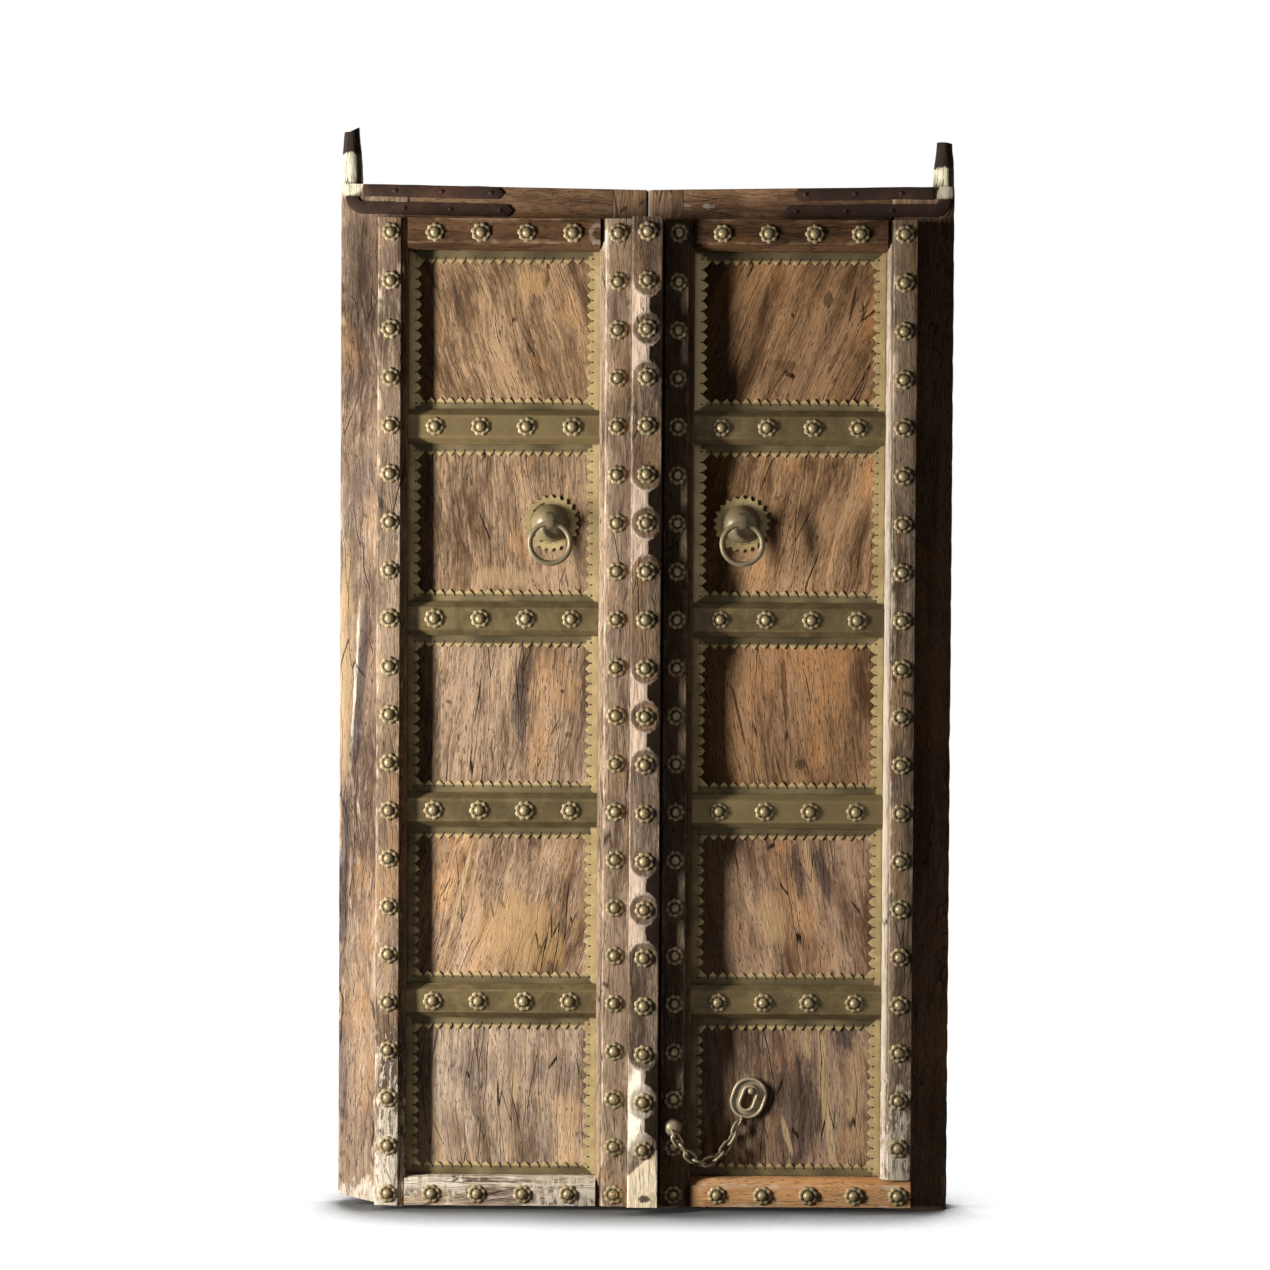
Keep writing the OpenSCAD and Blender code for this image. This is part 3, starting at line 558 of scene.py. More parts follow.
@dataclass
class Bar:
    """A length of timber or sheet of one section, worn along its arrises.

    Arris is the width of the rounding, chips how deep it is knocked, wave how far the faces stray, and step and
    pitch are the faces' lengths along and round the bar.
    """

    section: list[Point2]
    way: Way
    span: Span
    arris: float = 2.2
    chips: float = 2.2
    wave: float = 0.5
    step: float = 9.0
    pitch: float = 16.0
    seed: float = 0.0
    sharp_turn: float = 32.0
    cuts: list[tuple[Vector, Vector]] = field(default_factory=list)

    def corners(self) -> list[int]:
        """Finds where the section turns sharply.

        Returns:
            The numbers of those points.
        """
        found = []
        count = len(self.section)
        for k, point in enumerate(self.section):
            here = Vector(point)
            before = (here - Vector(self.section[k - 1])).normalized()
            after = (Vector(self.section[(k + 1) % count]) - here).normalized()
            if before.dot(after) < math.cos(math.radians(self.sharp_turn)):
                found.append(k)
        return found

    def build(self) -> bmesh.types.BMesh:
        """Sweeps the section along the bar, cuts its ends and wears it.

        Returns:
            The mesh in leaf space, in millimetres.
        """
        shape = bmesh.new()
        points = [shape.verts.new(self.way.point(a, b, self.span[0])) for a, b in self.section]
        face = shape.faces.new(points)
        sharp = [points[k] for k in self.corners()]
        kept = [self.section[k] for k in self.corners()]
        if self.arris > 0:
            bmesh.ops.bevel(shape, geom=sharp, offset=self.arris, offset_type="OFFSET", segments=2, profile=0.5,
                            affect="VERTICES", clamp_overlap=True, material=-1)
        for edge in list(shape.edges):
            cuts = int(edge.calc_length() / self.pitch)
            if cuts:
                bmesh.ops.subdivide_edges(shape, edges=[edge], cuts=cuts)
        bmesh.ops.delete(shape, geom=list(shape.faces), context="FACES_ONLY")
        around = set(shape.edges)
        bmesh.ops.spin(shape, geom=list(shape.verts) + list(shape.edges), cent=(0, 0, 0), axis=(0, 0, 1),
                       dvec=self.way.point(0.0, 0.0, self.span[1] - self.span[0]), angle=0.0, steps=1,
                       use_duplicate=False)
        along = self.way.point(0.0, 0.0, 1.0)
        long = [e for e in shape.edges
                if e not in around and abs((e.verts[1].co - e.verts[0].co).dot(along)) > 1.0]
        cuts = max(0, round((self.span[1] - self.span[0]) / self.step) - 1)
        if cuts:
            bmesh.ops.subdivide_edges(shape, edges=long, cuts=cuts)
        bmesh.ops.holes_fill(shape, edges=[e for e in shape.edges if e.is_boundary], sides=0)
        for point, normal in self.cuts:
            cut = bmesh.ops.bisect_plane(shape, geom=list(shape.verts) + list(shape.edges) + list(shape.faces),
                                         plane_co=point, plane_no=normal, clear_outer=True)
            bmesh.ops.holes_fill(shape, edges=[e for e in cut["geom_cut"] if isinstance(e, bmesh.types.BMEdge)],
                                 sides=0)
        bmesh.ops.recalc_face_normals(shape, faces=shape.faces)
        self.wear(shape, kept)
        return shape

    def wear(self, shape: bmesh.types.BMesh, kept: Sequence[Point2]) -> None:
        """Waves the faces, chips the arrises and writes where the timber is rubbed pale.

        Args:
            shape: The swept bar.
            kept: The section's sharp corners.
        """
        layer = rubbed(shape)
        shape.normal_update()
        shift = Vector((self.seed * 3.1, self.seed * 1.7, self.seed))
        reach = max(self.arris * 1.6, 0.5)
        moves = []
        for v in shape.verts:
            a, b = (v.co.x, v.co.y) if self.way is Way.UP else (v.co.y, v.co.z)
            near = min(math.hypot(a - p, b - q) for p, q in kept) if kept else reach
            low = noise.noise(v.co / 170.0 + shift)
            mid = noise.noise(v.co / 38.0 + shift * 2.0)
            move = self.wave * (low + 0.35 * mid)
            rub = 0.0
            if near < reach:
                knock = max(0.0, sum(noise.noise(v.co / width + shift * way) * share for width, way, share in KNOCKS))
                rub = min(1.0, 0.42 + 0.25 * low + knock)
                move -= self.chips * knock ** 1.5
            moves.append((v, v.normal * move))
            v[layer] = max(0.0, rub)
        for v, move in moves:
            v.co += move


def rectangle(a: Span, b: Span) -> list[Point2]:
    """A section's four corners."""
    return [(a[0], b[0]), (a[1], b[0]), (a[1], b[1]), (a[0], b[1])]


def moulded(width: float) -> list[Point2]:
    """Section of a face stile or rail, moulded along one edge.

    Args:
        width: The member's width.

    Returns:
        Points as (across from the plain edge, back from the base's front).
    """
    mould_w, mould_d, mould_step, turns = 12.0, 16.0, 2.5, 5
    curve = [(width - mould_w + mould_w * math.cos(a), -FACE_T + mould_d - (mould_d - mould_step) * math.sin(a))
             for a in (math.pi / 2 * k / turns for k in range(turns + 1))]
    return [(0.0, -FACE_T), (0.0, 0.0), (width, 0.0), *curve, (width - mould_w, -FACE_T)]


def top_edge(u: float) -> float:
    """Height of the leaf's hand-cut top edge."""
    return LEAF_H + TOP_RISE * u / LEAF_W


TOP_CUT = (Vector((0.0, 0.0, LEAF_H)), Vector((-TOP_RISE / LEAF_W, 0.0, 1.0)))


@dataclass
class BaseFrame:
    """The stiles and rails that carry the panels, with the horn that the leaf turns on."""

    side: Side
    facets: int = 9
    foot_r: float = 24.5
    tip_r: float = 14.0
    sunk: float = 26.0
    tip_from: float = 0.97

    def horn(self, shape: bmesh.types.BMesh) -> None:
        """Adds the hewn horn to the hinge stile's mesh.

        Args:
            shape: The stile's mesh in leaf space.
        """
        layer = rubbed(shape)
        old = set(shape.verts)
        tall = self.side.horn_h + self.sunk
        middle = Vector((HORN_U, BASE_T / 2, LEAF_H - self.sunk))
        bmesh.ops.create_cone(shape, cap_ends=True, segments=self.facets * 2, radius1=self.foot_r, radius2=self.tip_r,
                              depth=tall, matrix=Matrix.Translation(middle + Vector((0, 0, tall / 2))))
        fresh = [v for v in shape.verts if v not in old]
        edges = {e for v in fresh for e in v.link_edges}
        bmesh.ops.subdivide_edges(shape, edges=[e for e in edges if abs(e.verts[0].co.z - e.verts[1].co.z) > 9.0],
                                  cuts=14, use_grid_fill=True)
        fresh = [v for v in shape.verts if v not in old]
        slant = 16.0 if self.side is Side.LEFT else 3.0
        for v in fresh:
            flat = round(math.atan2(v.co.y - middle.y, v.co.x - middle.x) / (2 * math.pi) * self.facets)
            high = (v.co.z - LEAF_H) / self.side.horn_h
            turn = flat / self.facets * 2 * math.pi
            cut = 1.0 - 0.05 * math.cos(turn * 3.0 + self.side.value) - 0.03 * math.sin(9.0 * high)
            v.co.x = middle.x + (v.co.x - middle.x) * cut
            v.co.y = middle.y + (v.co.y - middle.y) * cut
            v.co += Vector((1.0, 1.0, 0.0)) * 0.8 * noise.noise(v.co / 11.0)
            v.co.x = min(v.co.x, LEAF_W - FIT)
            if high > self.tip_from:
                v.co.z -= slant * (v.co.x - middle.x + self.tip_r) / (2 * self.tip_r)
            v[layer] = 0.25 if high < self.tip_from else 0.6

    def build(self, finishes: dict[str, TeakFinish]) -> None:
        """Makes the four base members.

        Args:
            finishes: A finish for each member.
        """
        side, word = self.side, self.side.word
        cuts = [TOP_CUT]
        if side is Side.LEFT:
            worn_w, worn_h = 96.0, 24.0
            cuts.append((Vector((LEAF_W - worn_w, 0.0, 0.0)), Vector((worn_h, 0.0, -worn_w))))
        body = (0.0, BASE_T)
        top = top_edge(LEAF_W) + 2.0
        members = {
            "hinge_stile": Bar(rectangle((HINGE_IN, LEAF_W), body), Way.UP, (0.0, top), 3.0, 1.8, 0.9, cuts=cuts),
            "lock_stile": Bar(rectangle((LOCK_OUT, LOCK_IN), body), Way.UP, (0.0, top), 2.0, 2.0, 0.4,
                              cuts=[TOP_CUT]),
            "top_rail": Bar(rectangle(body, (BASE_TOP, top)), Way.ACROSS, (LOCK_IN, HINGE_IN), 2.0, 2.0, 0.5,
                            cuts=[TOP_CUT]),
            "bottom_rail": Bar(rectangle(body, (0.0, BASE_BOTTOM)), Way.ACROSS, (LOCK_IN, HINGE_IN), 2.0, 2.5, 0.5),
        }
        for k, (member, bar) in enumerate(members.items()):
            bar.seed = 11.0 + k * 5.0 + side.value * 2.5
            shape = bar.build()
            if member == "hinge_stile":
                self.horn(shape)
            node = f"{word}_{member}"
            add_piece(f"{node}_hewn", shape, side.matrix, side.body, finishes[member].material(), [node])


@dataclass
class GapLath:
    """The thin lath on the left leaf's meeting edge that keeps daylight out of the gap; it is near-black, as painted
    shade in the gap.
    """

    width: float = 3.4
    depth: float = 5.0
    inset: float = 2.0

    def build(self, finish: TeakFinish) -> None:
        """Makes the lath from the foot to the top edge.

        Args:
            finish: Its near-black timber, painted shade in the gap.
        """
        span = (LOCK_OUT - self.width, LOCK_OUT + 0.5)
        bar = Bar(rectangle(span, (self.inset, self.inset + self.depth)), Way.UP, (1.0, LEAF_H - 1.5), arris=0.3,
                  chips=0.0, wave=0.0, step=40.0, pitch=9.0)
        add_piece("gap_lath", bar.build(), Side.LEFT.matrix, Side.LEFT.body, finish.material())


@dataclass
class FaceFrame:
    """The moulded frame that is nailed on the front of a leaf."""

    side: Side

    def build(self, finishes: dict[str, TeakFinish]) -> None:
        """Makes the four face members.

        Args:
            finishes: A finish for each member.
        """
        side, word = self.side, self.side.word
        inner = [(side.face_in + a, b) for a, b in moulded(OPEN_IN - side.face_in)]
        outer = [(FACE_OUT - a, b) for a, b in moulded(FACE_OUT - OPEN_OUT)]
        upper = [(b, FACE_TOP - a) for a, b in moulded(FACE_TOP - OPEN_TOP)]
        lower = [(b, FACE_FOOT + a) for a, b in moulded(OPEN_BOTTOM - FACE_FOOT)]
        left = side is Side.LEFT
        members = {
            "inner_face_stile": Bar(inner, Way.UP, (FACE_FOOT, FACE_TOP)),
            "outer_face_stile": Bar(outer, Way.UP, (FACE_FOOT if left else OPEN_BOTTOM, FACE_TOP)),
            "top_face_rail": Bar(upper, Way.ACROSS, (OPEN_IN, OPEN_OUT)),
            "bottom_face_rail": Bar(lower, Way.ACROSS, (OPEN_IN, OPEN_OUT if left else FACE_OUT)),
        }
        for k, (member, bar) in enumerate(members.items()):
            bar.seed = 31.0 + k * 4.0 + side.value * 1.5
            node = f"{word}_{member}"
            add_piece(f"{node}_worn", bar.build(), side.matrix, side.body, finishes[member].material(),
                      [node])


@dataclass
class PanelSet:
    """The five boards in a leaf's openings."""

    side: Side
    rim: float = 9.7
    ridge: float = 0.45

    def build(self, finishes: Sequence[TeakFinish]) -> None:
        """Makes the boards from the top one down.

        Args:
            finishes: One finish for each board.
        """
        side = self.side
        for i, finish in zip(PANELS, finishes):
            low = BASE_BOTTOM if i == PANELS[-1] else RAIL_Z[i - 1] + RAIL_HALF
            high = BASE_TOP if i == PANELS[0] else RAIL_Z[i - 2] - RAIL_HALF
            bar = Bar(rectangle((LOCK_IN - self.rim, HINGE_IN + self.rim), (PANEL_SET, PANEL_SET + PANEL_T)), Way.UP,
                      (low - self.rim, high + self.rim), arris=1.0, chips=0.4, wave=0.9, step=8.0, pitch=8.0,
                      seed=50.0 + i * 3.0 + side.value)
            shape = bar.build()
            lean = math.radians(finish.lean)
            for v in shape.verts:
                across = v.co.x * math.cos(lean) - v.co.z * math.sin(lean) * side.value
                v.co.y += self.ridge * noise.noise(Vector((across / 9.0, finish.seed, v.co.z / 260.0)))
            node = f"{side.word}_panel_{i}"
            add_piece(f"{node}_board", shape, side.matrix, side.body, finish.material(), [node])


@dataclass
class MeetingStile:
    """The carved bar over the gap: three-sided necks between round bosses, plain between the groups."""

    chamfer: float = 27.0
    boss_r: float = 30.0
    boss_ease: float = 3.5
    brim_w: float = 7.0
    foot: float = 14.0

    def carved(self, u: float, z: float) -> Point2:
        """How deep the neck's chamfer is cut at a point of the front.

        Args:
            u: Across from the middle.
            z: Height.

        Returns:
            The chamfer's width there, 0 on a boss and on the plain lengths, and how far the point is from the
            nearest boss's middle.
        """
        for k in range(2, 21, 4):
            low, middle, high = STUD_Z[k - 1], STUD_Z[k], STUD_Z[k + 1]
            if low <= z <= high:
                near = min(math.hypot(u * 1.02, z - c) for c in (low, middle, high))
                rise = min(1.0, max(0.0, (near - self.boss_r) / self.boss_ease))
                return self.chamfer * rise * rise * (3.0 - 2.0 * rise), near
        return 0.0, 0.0

    def build(self, finish: TeakFinish) -> None:
        """Sweeps the bar, carves it and rubs its ridges; the chamfers on the shaded side are made paler still as
        painted light.

        Args:
            finish: Its timber.
        """
        shape = Bar(rectangle((-MEETING_HALF, MEETING_HALF), (-MEETING_T, 0.0)), Way.UP, (self.foot, FACE_TOP),
                    arris=1.6, chips=1.0, wave=0.25, step=2.8, pitch=2.6, seed=77.0).build()
        layer = rubbed(shape)
        for v in shape.verts:
            u = v.co.x
            c, near = self.carved(u, v.co.z)
            brim = min(max(0.0, near - self.boss_r + self.brim_w), self.brim_w + 1.0)
            v.co.y += 0.05 * brim ** 2 * max(0.0, 1.0 - (v.co.y + MEETING_T) / 6.0)
            v[layer] = max(v[layer], 0.13 * brim)
            f, s = v.co.y + MEETING_T, MEETING_HALF - abs(u)
            c += 1.6 * noise.noise(v.co / 13.0) if c > 6.0 else 0.0
            if f + s < c:
                gain = (c - f - s) / 2.0
                v.co.y += gain
                v.co.x -= math.copysign(gain, u)
                # Chamfers rubbed pale; the shaded right-hand ones (u below zero) are made paler than the lit ones as
                # painted light
                v[layer] = 0.6 if u > 0.0 else 0.72
        dent(shape, depth=0.5, size=8.0, seed=3.0)
        add_piece("meeting_stile_carved", shape, Side.LEFT.matrix, Side.LEFT.body, finish.material(),
                  ["meeting_stile"], 50.0)


def stamp(template: bmesh.types.BMesh, places: Iterable[Matrix],
          change: Optional[Callable[[list[bmesh.types.BMVert]], None]] = None) -> bmesh.types.BMesh:
    """Repeats a small shape.

    Args:
        template: The shape; its own geometry is removed.
        places: Where each copy goes.
        change: Reshapes a copy before it is placed.

    Returns:
        The same mesh with the copies.
    """
    part = bpy.data.meshes.new("stamp")
    template.to_mesh(part)
    template.clear()
    rubbed(template)
    for place in places:
        count = len(template.verts)
        template.from_mesh(part)
        template.verts.ensure_lookup_table()
        points = template.verts[count:]
        if change:
            change(points)
        for v in points:
            v.co = place @ v.co
    bpy.data.meshes.remove(part)
    return template


def facing(u: float, y: float, z: float, turn: float = 0.0, tilt: Point2 = (0.0, 0.0), size: float = 1.0) -> Matrix:
    """Places a shape drawn along +Z so that it stands out of the front, in leaf space.

    Args:
        u: Outwards.
        y: Depth of the face that it stands on.
        z: Height.
        turn: Turn about its own axis.
        tilt: Small turns about the other two axes.
        size: Scale.

    Returns:
        The placing matrix.
    """
    stand = Matrix.Rotation(math.pi / 2 + tilt[0], 4, "X") @ Matrix.Rotation(tilt[1], 4, "Y")
    return (Matrix.Translation((u, y, z)) @ stand @ Matrix.Rotation(turn, 4, "Z")
            @ Matrix.Diagonal((size, size, size, 1.0)))


def lathe(profile: Sequence[Point2], steps: int) -> bmesh.types.BMesh:
    """Spins a profile about +Z and closes its poles.

    Args:
        profile: Points as (radius, height).
        steps: Faces round the axis.

    Returns:
        The mesh.
    """
    shape = bmesh.new()
    points = [shape.verts.new((r, 0.0, h)) for r, h in profile]
    for a, c in zip(points, points[1:]):
        shape.edges.new((a, c))
    bmesh.ops.spin(shape, geom=list(shape.verts) + list(shape.edges), cent=(0, 0, 0), axis=(0, 0, 1), angle=math.tau,
                   steps=steps, use_merge=True, use_duplicate=False)
    bmesh.ops.remove_doubles(shape, verts=shape.verts, dist=0.001)
    bmesh.ops.recalc_face_normals(shape, faces=shape.faces)
    return shape


@dataclass
class StudField:
    """The domed nails and their eight-petalled rosettes."""

    side: Side
    petals: int = 8
    dome_r: float = 9.3
    dome_h: float = 8.0
    dome_foot: float = 2.1
    dome_turns: int = 5

    def places(self) -> list[Vector]:
        """Lists where each stud stands.

        Returns:
            Points as (outwards, depth of its face, height).
        """
        side = self.side
        found = [Vector((u, -FACE_T, z)) for u in (side.inner_stud_u, OUTER_STUD_U) for z in STUD_Z]
        found += [Vector((u, -FACE_T, z)) for u in RAIL_STUD_U for z in (STUD_Z[0], STUD_Z[-1])]
        found += [Vector((u, -RAIL_PROUD - SHEET_T, z)) for u in RAIL_STUD_U for z in RAIL_Z]
        if side is Side.LEFT:
            found += [Vector((0.0, -MEETING_T, z)) for z in STUD_Z[1:]]
        return found

    def rosette(self) -> bmesh.types.BMesh:
        """Makes one rosette: three rings of faces whose outer two swell into petals.

        Returns:
            The rosette, out along +Z.
        """
        shape = lathe([(8.6, 1.0), (14.3, 2.7), (17.0, 1.3), (17.0, 0.0)], self.petals * 3)
        layer = rubbed(shape)
        for v in shape.verts:
            r = math.hypot(v.co.x, v.co.y)
            lobe = min(1.0, (1.0 - math.cos(math.atan2(v.co.y, v.co.x) * self.petals)) / 1.5)
            if r > 15.5:
                grow = (15.2 + 3.0 * lobe) / r
                v.co.x, v.co.y = v.co.x * grow, v.co.y * grow
                v[layer] = 0.4 * lobe
            elif r > 12.0:
                v.co.z = 1.7 + 2.5 * lobe
                v[layer] = 0.6 * lobe - 0.45
            else:
                v[layer] = -0.9
        return shape

    def dome(self) -> bmesh.types.BMesh:
        """Makes one nail's domed head with a thin lip.

        Returns:
            The head, out along +Z.
        """
        turns = [math.pi / 2 * k / self.dome_turns for k in range(self.dome_turns + 1)]
        ball = [(self.dome_r * math.cos(a), self.dome_foot + self.dome_h * math.sin(a)) for a in turns]
        return lathe([(self.dome_r, 0.9), *ball[:-1], (0.0, ball[-1][1])], 14)

    def build(self, petals: BrassFinish, heads: BrassFinish) -> None:
        """Stamps both shapes on every place.

        Args:
            petals: The rosettes' finish.
            heads: The domes' finish.
        """
        side, word = self.side, self.side.word
        draw = random.Random(40 + side.value)
        spots = [facing(*p, draw.uniform(0.0, math.tau), (draw.gauss(0, 0.02), draw.gauss(0, 0.02)),
                        draw.uniform(0.96, 1.03)) for p in self.places()]
        for name, shape, finish, node in (("rosette_petals", self.rosette(), petals, "rosettes"),
                                          ("stud_domes", self.dome(), heads, "stud_nails")):
            add_piece(f"{word}_{name}", stamp(shape, spots), side.matrix, side.body, finish.material(),
                      [f"{word}_{node}"], 60.0)


@dataclass
class SheetBrass:
    """The folded sheets on the cross rails and the toothed strips round the panels."""

    side: Side
    band_w: float = 14.0
    tooth_d: float = 10.0
    tooth_pitch: float = 18.0

    def cladding(self, finish: BrassFinish) -> None:
        """Folds one sheet over each cross rail.

        Args:
            finish: The sheet's finish.
        """
        half, proud, t = RAIL_HALF, RAIL_PROUD, SHEET_T
        corner, spread = t * math.tan(math.radians(22.5)), t * math.sqrt(2.0)
        inner = [(0.0, half), (-proud, half - proud), (-proud, proud - half), (0.0, -half)]
        outer = [(0.0, -half - spread), (-proud - t, proud - half - corner), (-proud - t, half - proud + corner),
                 (0.0, half + spread)]
        # Each rail's sheet is made paler (above zero) or darker (below zero) as a whole, rail by rail
        tones = (0.6, -0.12, -0.36, 0.1) if self.side is Side.LEFT else (-0.24, 0.0, 0.7, 0.05)
        whole = bmesh.new()
        for k, z in enumerate(RAIL_Z):
            bar = Bar([(a, z + b) for a, b in inner + outer], Way.ACROSS, (OPEN_IN + FIT, OPEN_OUT - FIT), arris=0.35,
                      chips=0.0, wave=0.55, step=6.0, pitch=5.0, seed=90.0 + k + self.side.value * 4.0)
            shape = bar.build()
            dent(shape, depth=0.25, size=22.0, seed=5.0 + k)
            layer = rubbed(shape)
            for v in shape.verts:
                v[layer] += tones[k]
            merge_into(whole, shape)
        node = f"{self.side.word}_rail_cladding"
        add_piece(f"{node}_folded", whole, self.side.matrix, self.side.body, finish.material(), [node],
                  30.0)

    def cell(self, toothed: bool) -> bmesh.types.BMesh:
        """Makes one pitch of a strip.

        Args:
            toothed: Whether it has a tooth.

        Returns:
            The sheet, along +X from 0 to 1, across +Y, out along +Z.
        """
        shape = bmesh.new()
        layer = rubbed(shape)
        w, t, d = self.band_w, SHEET_T, self.tooth_d
        rows = [[shape.verts.new((x, y, t + lift)) for x, lift in ((0.0, e), (0.5, m), (1.0, e))]
                for y, e, m in ((0.0, 0.0, 0.0), (w * 0.55, 0.35, 0.35), (w, -0.15, 0.55))]
        for low, high in zip(rows, rows[1:]):
            for k in range(2):
                shape.faces.new((low[k], low[k + 1], high[k + 1], high[k]))
        if toothed:
            a, b, c = rows[2]
            left, middle, right, tip = (shape.verts.new(p) for p in (
                (0.23, w + d * 0.53, t + 0.2), (0.5, w + d * 0.45, t + 1.1), (0.77, w + d * 0.53, t + 0.2),
                (0.5, w + d, t + 0.3)))
            for ring in ((a, b, middle, left), (b, c, right, middle), (left, middle, tip), (middle, right, tip)):
                shape.faces.new(ring)
            for v in (left, right, tip):
                v[layer] = 0.75
        return shape

    def runs(self) -> list[tuple[Matrix, float, float]]:
        """Lists the strips of the leaf.

        Returns:
            Each strip's placing, its length and the plain length at both its ends.
        """
        width, height = OPEN_OUT - OPEN_IN - 2 * FIT, PANEL_H - 2 * FIT
        middle = (OPEN_IN + OPEN_OUT) / 2
        found = []
        for i in PANELS:
            z = OPEN_TOP - (i - 1) * BAY - PANEL_H / 2
            for turn, length, across, plain in ((0, width, height, self.band_w), (90, height, width, 0.0),
                                                (180, width, height, self.band_w), (270, height, width, 0.0)):
                start = Matrix.Translation((-length / 2 + self.band_w, -across / 2, 0.0))
                place = facing(middle, PANEL_SET, z) @ Matrix.Rotation(math.radians(turn), 4, "Z") @ start
                found.append((place, length - 2 * self.band_w, plain))
        return found

    def paint_light_and_tarnish(self, strips: bmesh.types.BMesh) -> None:
        """Paints light and shade into the strips through the wear layer, in leaf space: painted shade on the top and
        bottom strips, painted light on the upright strip to the right of each opening, and board by board painted light
        and shade on the upright strip to the left, lighter on the upper boards and darker on the lower ones; the teeth
        are paler, partly as painted light, and a cloud of tarnish runs over all.

        Args:
            strips: The toothed strips.
        """
        layer = rubbed(strips)
        middle = (OPEN_IN + OPEN_OUT) / 2
        # Painted shade on the top and bottom strips, painted light on the lit upright strip, extra pallor on the teeth
        # (less on the shaded side) and a cloud of tarnish
        upper, lower, lit, tooth, shaded_tooth, cloud = -0.61, -0.57, 0.3, 0.4, 0.2, 0.14
        shaded = (0.5, -0.1, -0.42, -0.54, -0.42) if self.side is Side.LEFT else (1.1, 0.6, -0.35, -0.46, -0.55)
        for v in strips.verts:
            panel = min(len(shaded) - 1, max(0, int((OPEN_TOP - v.co.z) // BAY)))
            z = (OPEN_TOP - v.co.z) % BAY - PANEL_H / 2
            u = (v.co.x - middle) * self.side.value
            aside, above = (OPEN_OUT - OPEN_IN) / 2 - abs(u), PANEL_H / 2 - abs(z)
            level = aside > above
            skin = (upper if z < 0.0 else lower) if level else lit if u > 0.0 else shaded[panel]
            if min(aside, above) > self.band_w + 1.0:
                skin += tooth if level or u > 0.0 else shaded_tooth
            v[layer] = skin + cloud * noise.noise(v.co / 55.0)

    def edging(self, finish: BrassFinish, nails: IronFinish) -> None:
        """Makes the strips tooth by tooth, and a small nail in each notch.

        Args:
            finish: The strips' finish.
            nails: The nails' finish.
        """
        draw = random.Random(60 + self.side.value)
        teeth, plain, pins = [], [], []
        for place, length, ends in self.runs():
            count = int(length / self.tooth_pitch)
            pitch = length / count
            step = Matrix.Diagonal((pitch, 1.0, 1.0, 1.0))
            teeth += [place @ Matrix.Translation((k * pitch, 0.0, 0.0)) @ step for k in range(count)]
            pins += [place @ Matrix.Translation((k * pitch + draw.gauss(0, 0.4), self.band_w - 0.6, SHEET_T))
                     for k in range(count + 1)]
            if ends:
                stub = Matrix.Diagonal((ends, 1.0, 1.0, 1.0))
                plain += [place @ Matrix.Translation((-ends, 0.0, 0.0)) @ stub,
                          place @ Matrix.Translation((length, 0.0, 0.0)) @ stub]

        def jog(points: list[bmesh.types.BMVert]) -> None:
            """Bends one hand-cut tooth a little.

            Args:
                points: The tooth's pitch of the strip.
            """
            lift, lean, grow = draw.uniform(0.3, 1.7), draw.gauss(0.0, 0.05), draw.gauss(0.0, 0.5)
            for v in points:
                over = max(0.0, (v.co.y - self.band_w) / self.tooth_d)
                v.co += Vector((lean * over, grow * over, lift * over))

        strips = stamp(self.cell(True), teeth, jog)
        merge_into(strips, stamp(self.cell(False), plain))
        bmesh.ops.remove_doubles(strips, verts=strips.verts, dist=0.05)
        bmesh.ops.recalc_face_normals(strips, faces=strips.faces)
        bmesh.ops.solidify(strips, geom=list(strips.faces), thickness=SHEET_T)
        self.paint_light_and_tarnish(strips)
        side, word = self.side, self.side.word
        add_piece(f"{word}_edging_strips", strips, side.matrix, side.body, finish.material(),
                  [f"{word}_panel_edging"], 40.0)
        pin = bmesh.new()
        bmesh.ops.create_uvsphere(pin, u_segments=8, v_segments=4, radius=1.0,
                                  matrix=Matrix.Diagonal((1.5, 2.3, 1.0, 1.0)))
        add_piece(f"{word}_edging_nails", stamp(pin, pins), side.matrix, side.body, nails.material())


def softened(node: str, radius: float, angle: float = 25.0) -> bmesh.types.BMesh:
    """A copy of a node's mesh in millimetres with its sharp edges rounded.

    Args:
        node: The node.
        radius: Width of the rounding, or 0 for none.
        angle: Edges that turn by more degrees than this are rounded.

    Returns:
        The mesh in the row frame's directions.
    """
    shape = bmesh.new()
    shape.from_mesh(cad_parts[node].data)
    bmesh.ops.scale(shape, vec=(1.0 / MM,) * 3, verts=shape.verts)
    bmesh.ops.remove_doubles(shape, verts=shape.verts, dist=0.01)
    bmesh.ops.dissolve_limit(shape, angle_limit=math.radians(1.5), verts=shape.verts, edges=shape.edges)
    sharp = [e for e in shape.edges if len(e.link_faces) == 2 and e.calc_face_angle(0.0) > math.radians(angle)]
    if radius > 0.0:
        bmesh.ops.bevel(shape, geom=sharp, offset=radius, offset_type="OFFSET", segments=2, profile=0.5, affect="EDGES",
                        clamp_overlap=True, material=-1)
    return shape


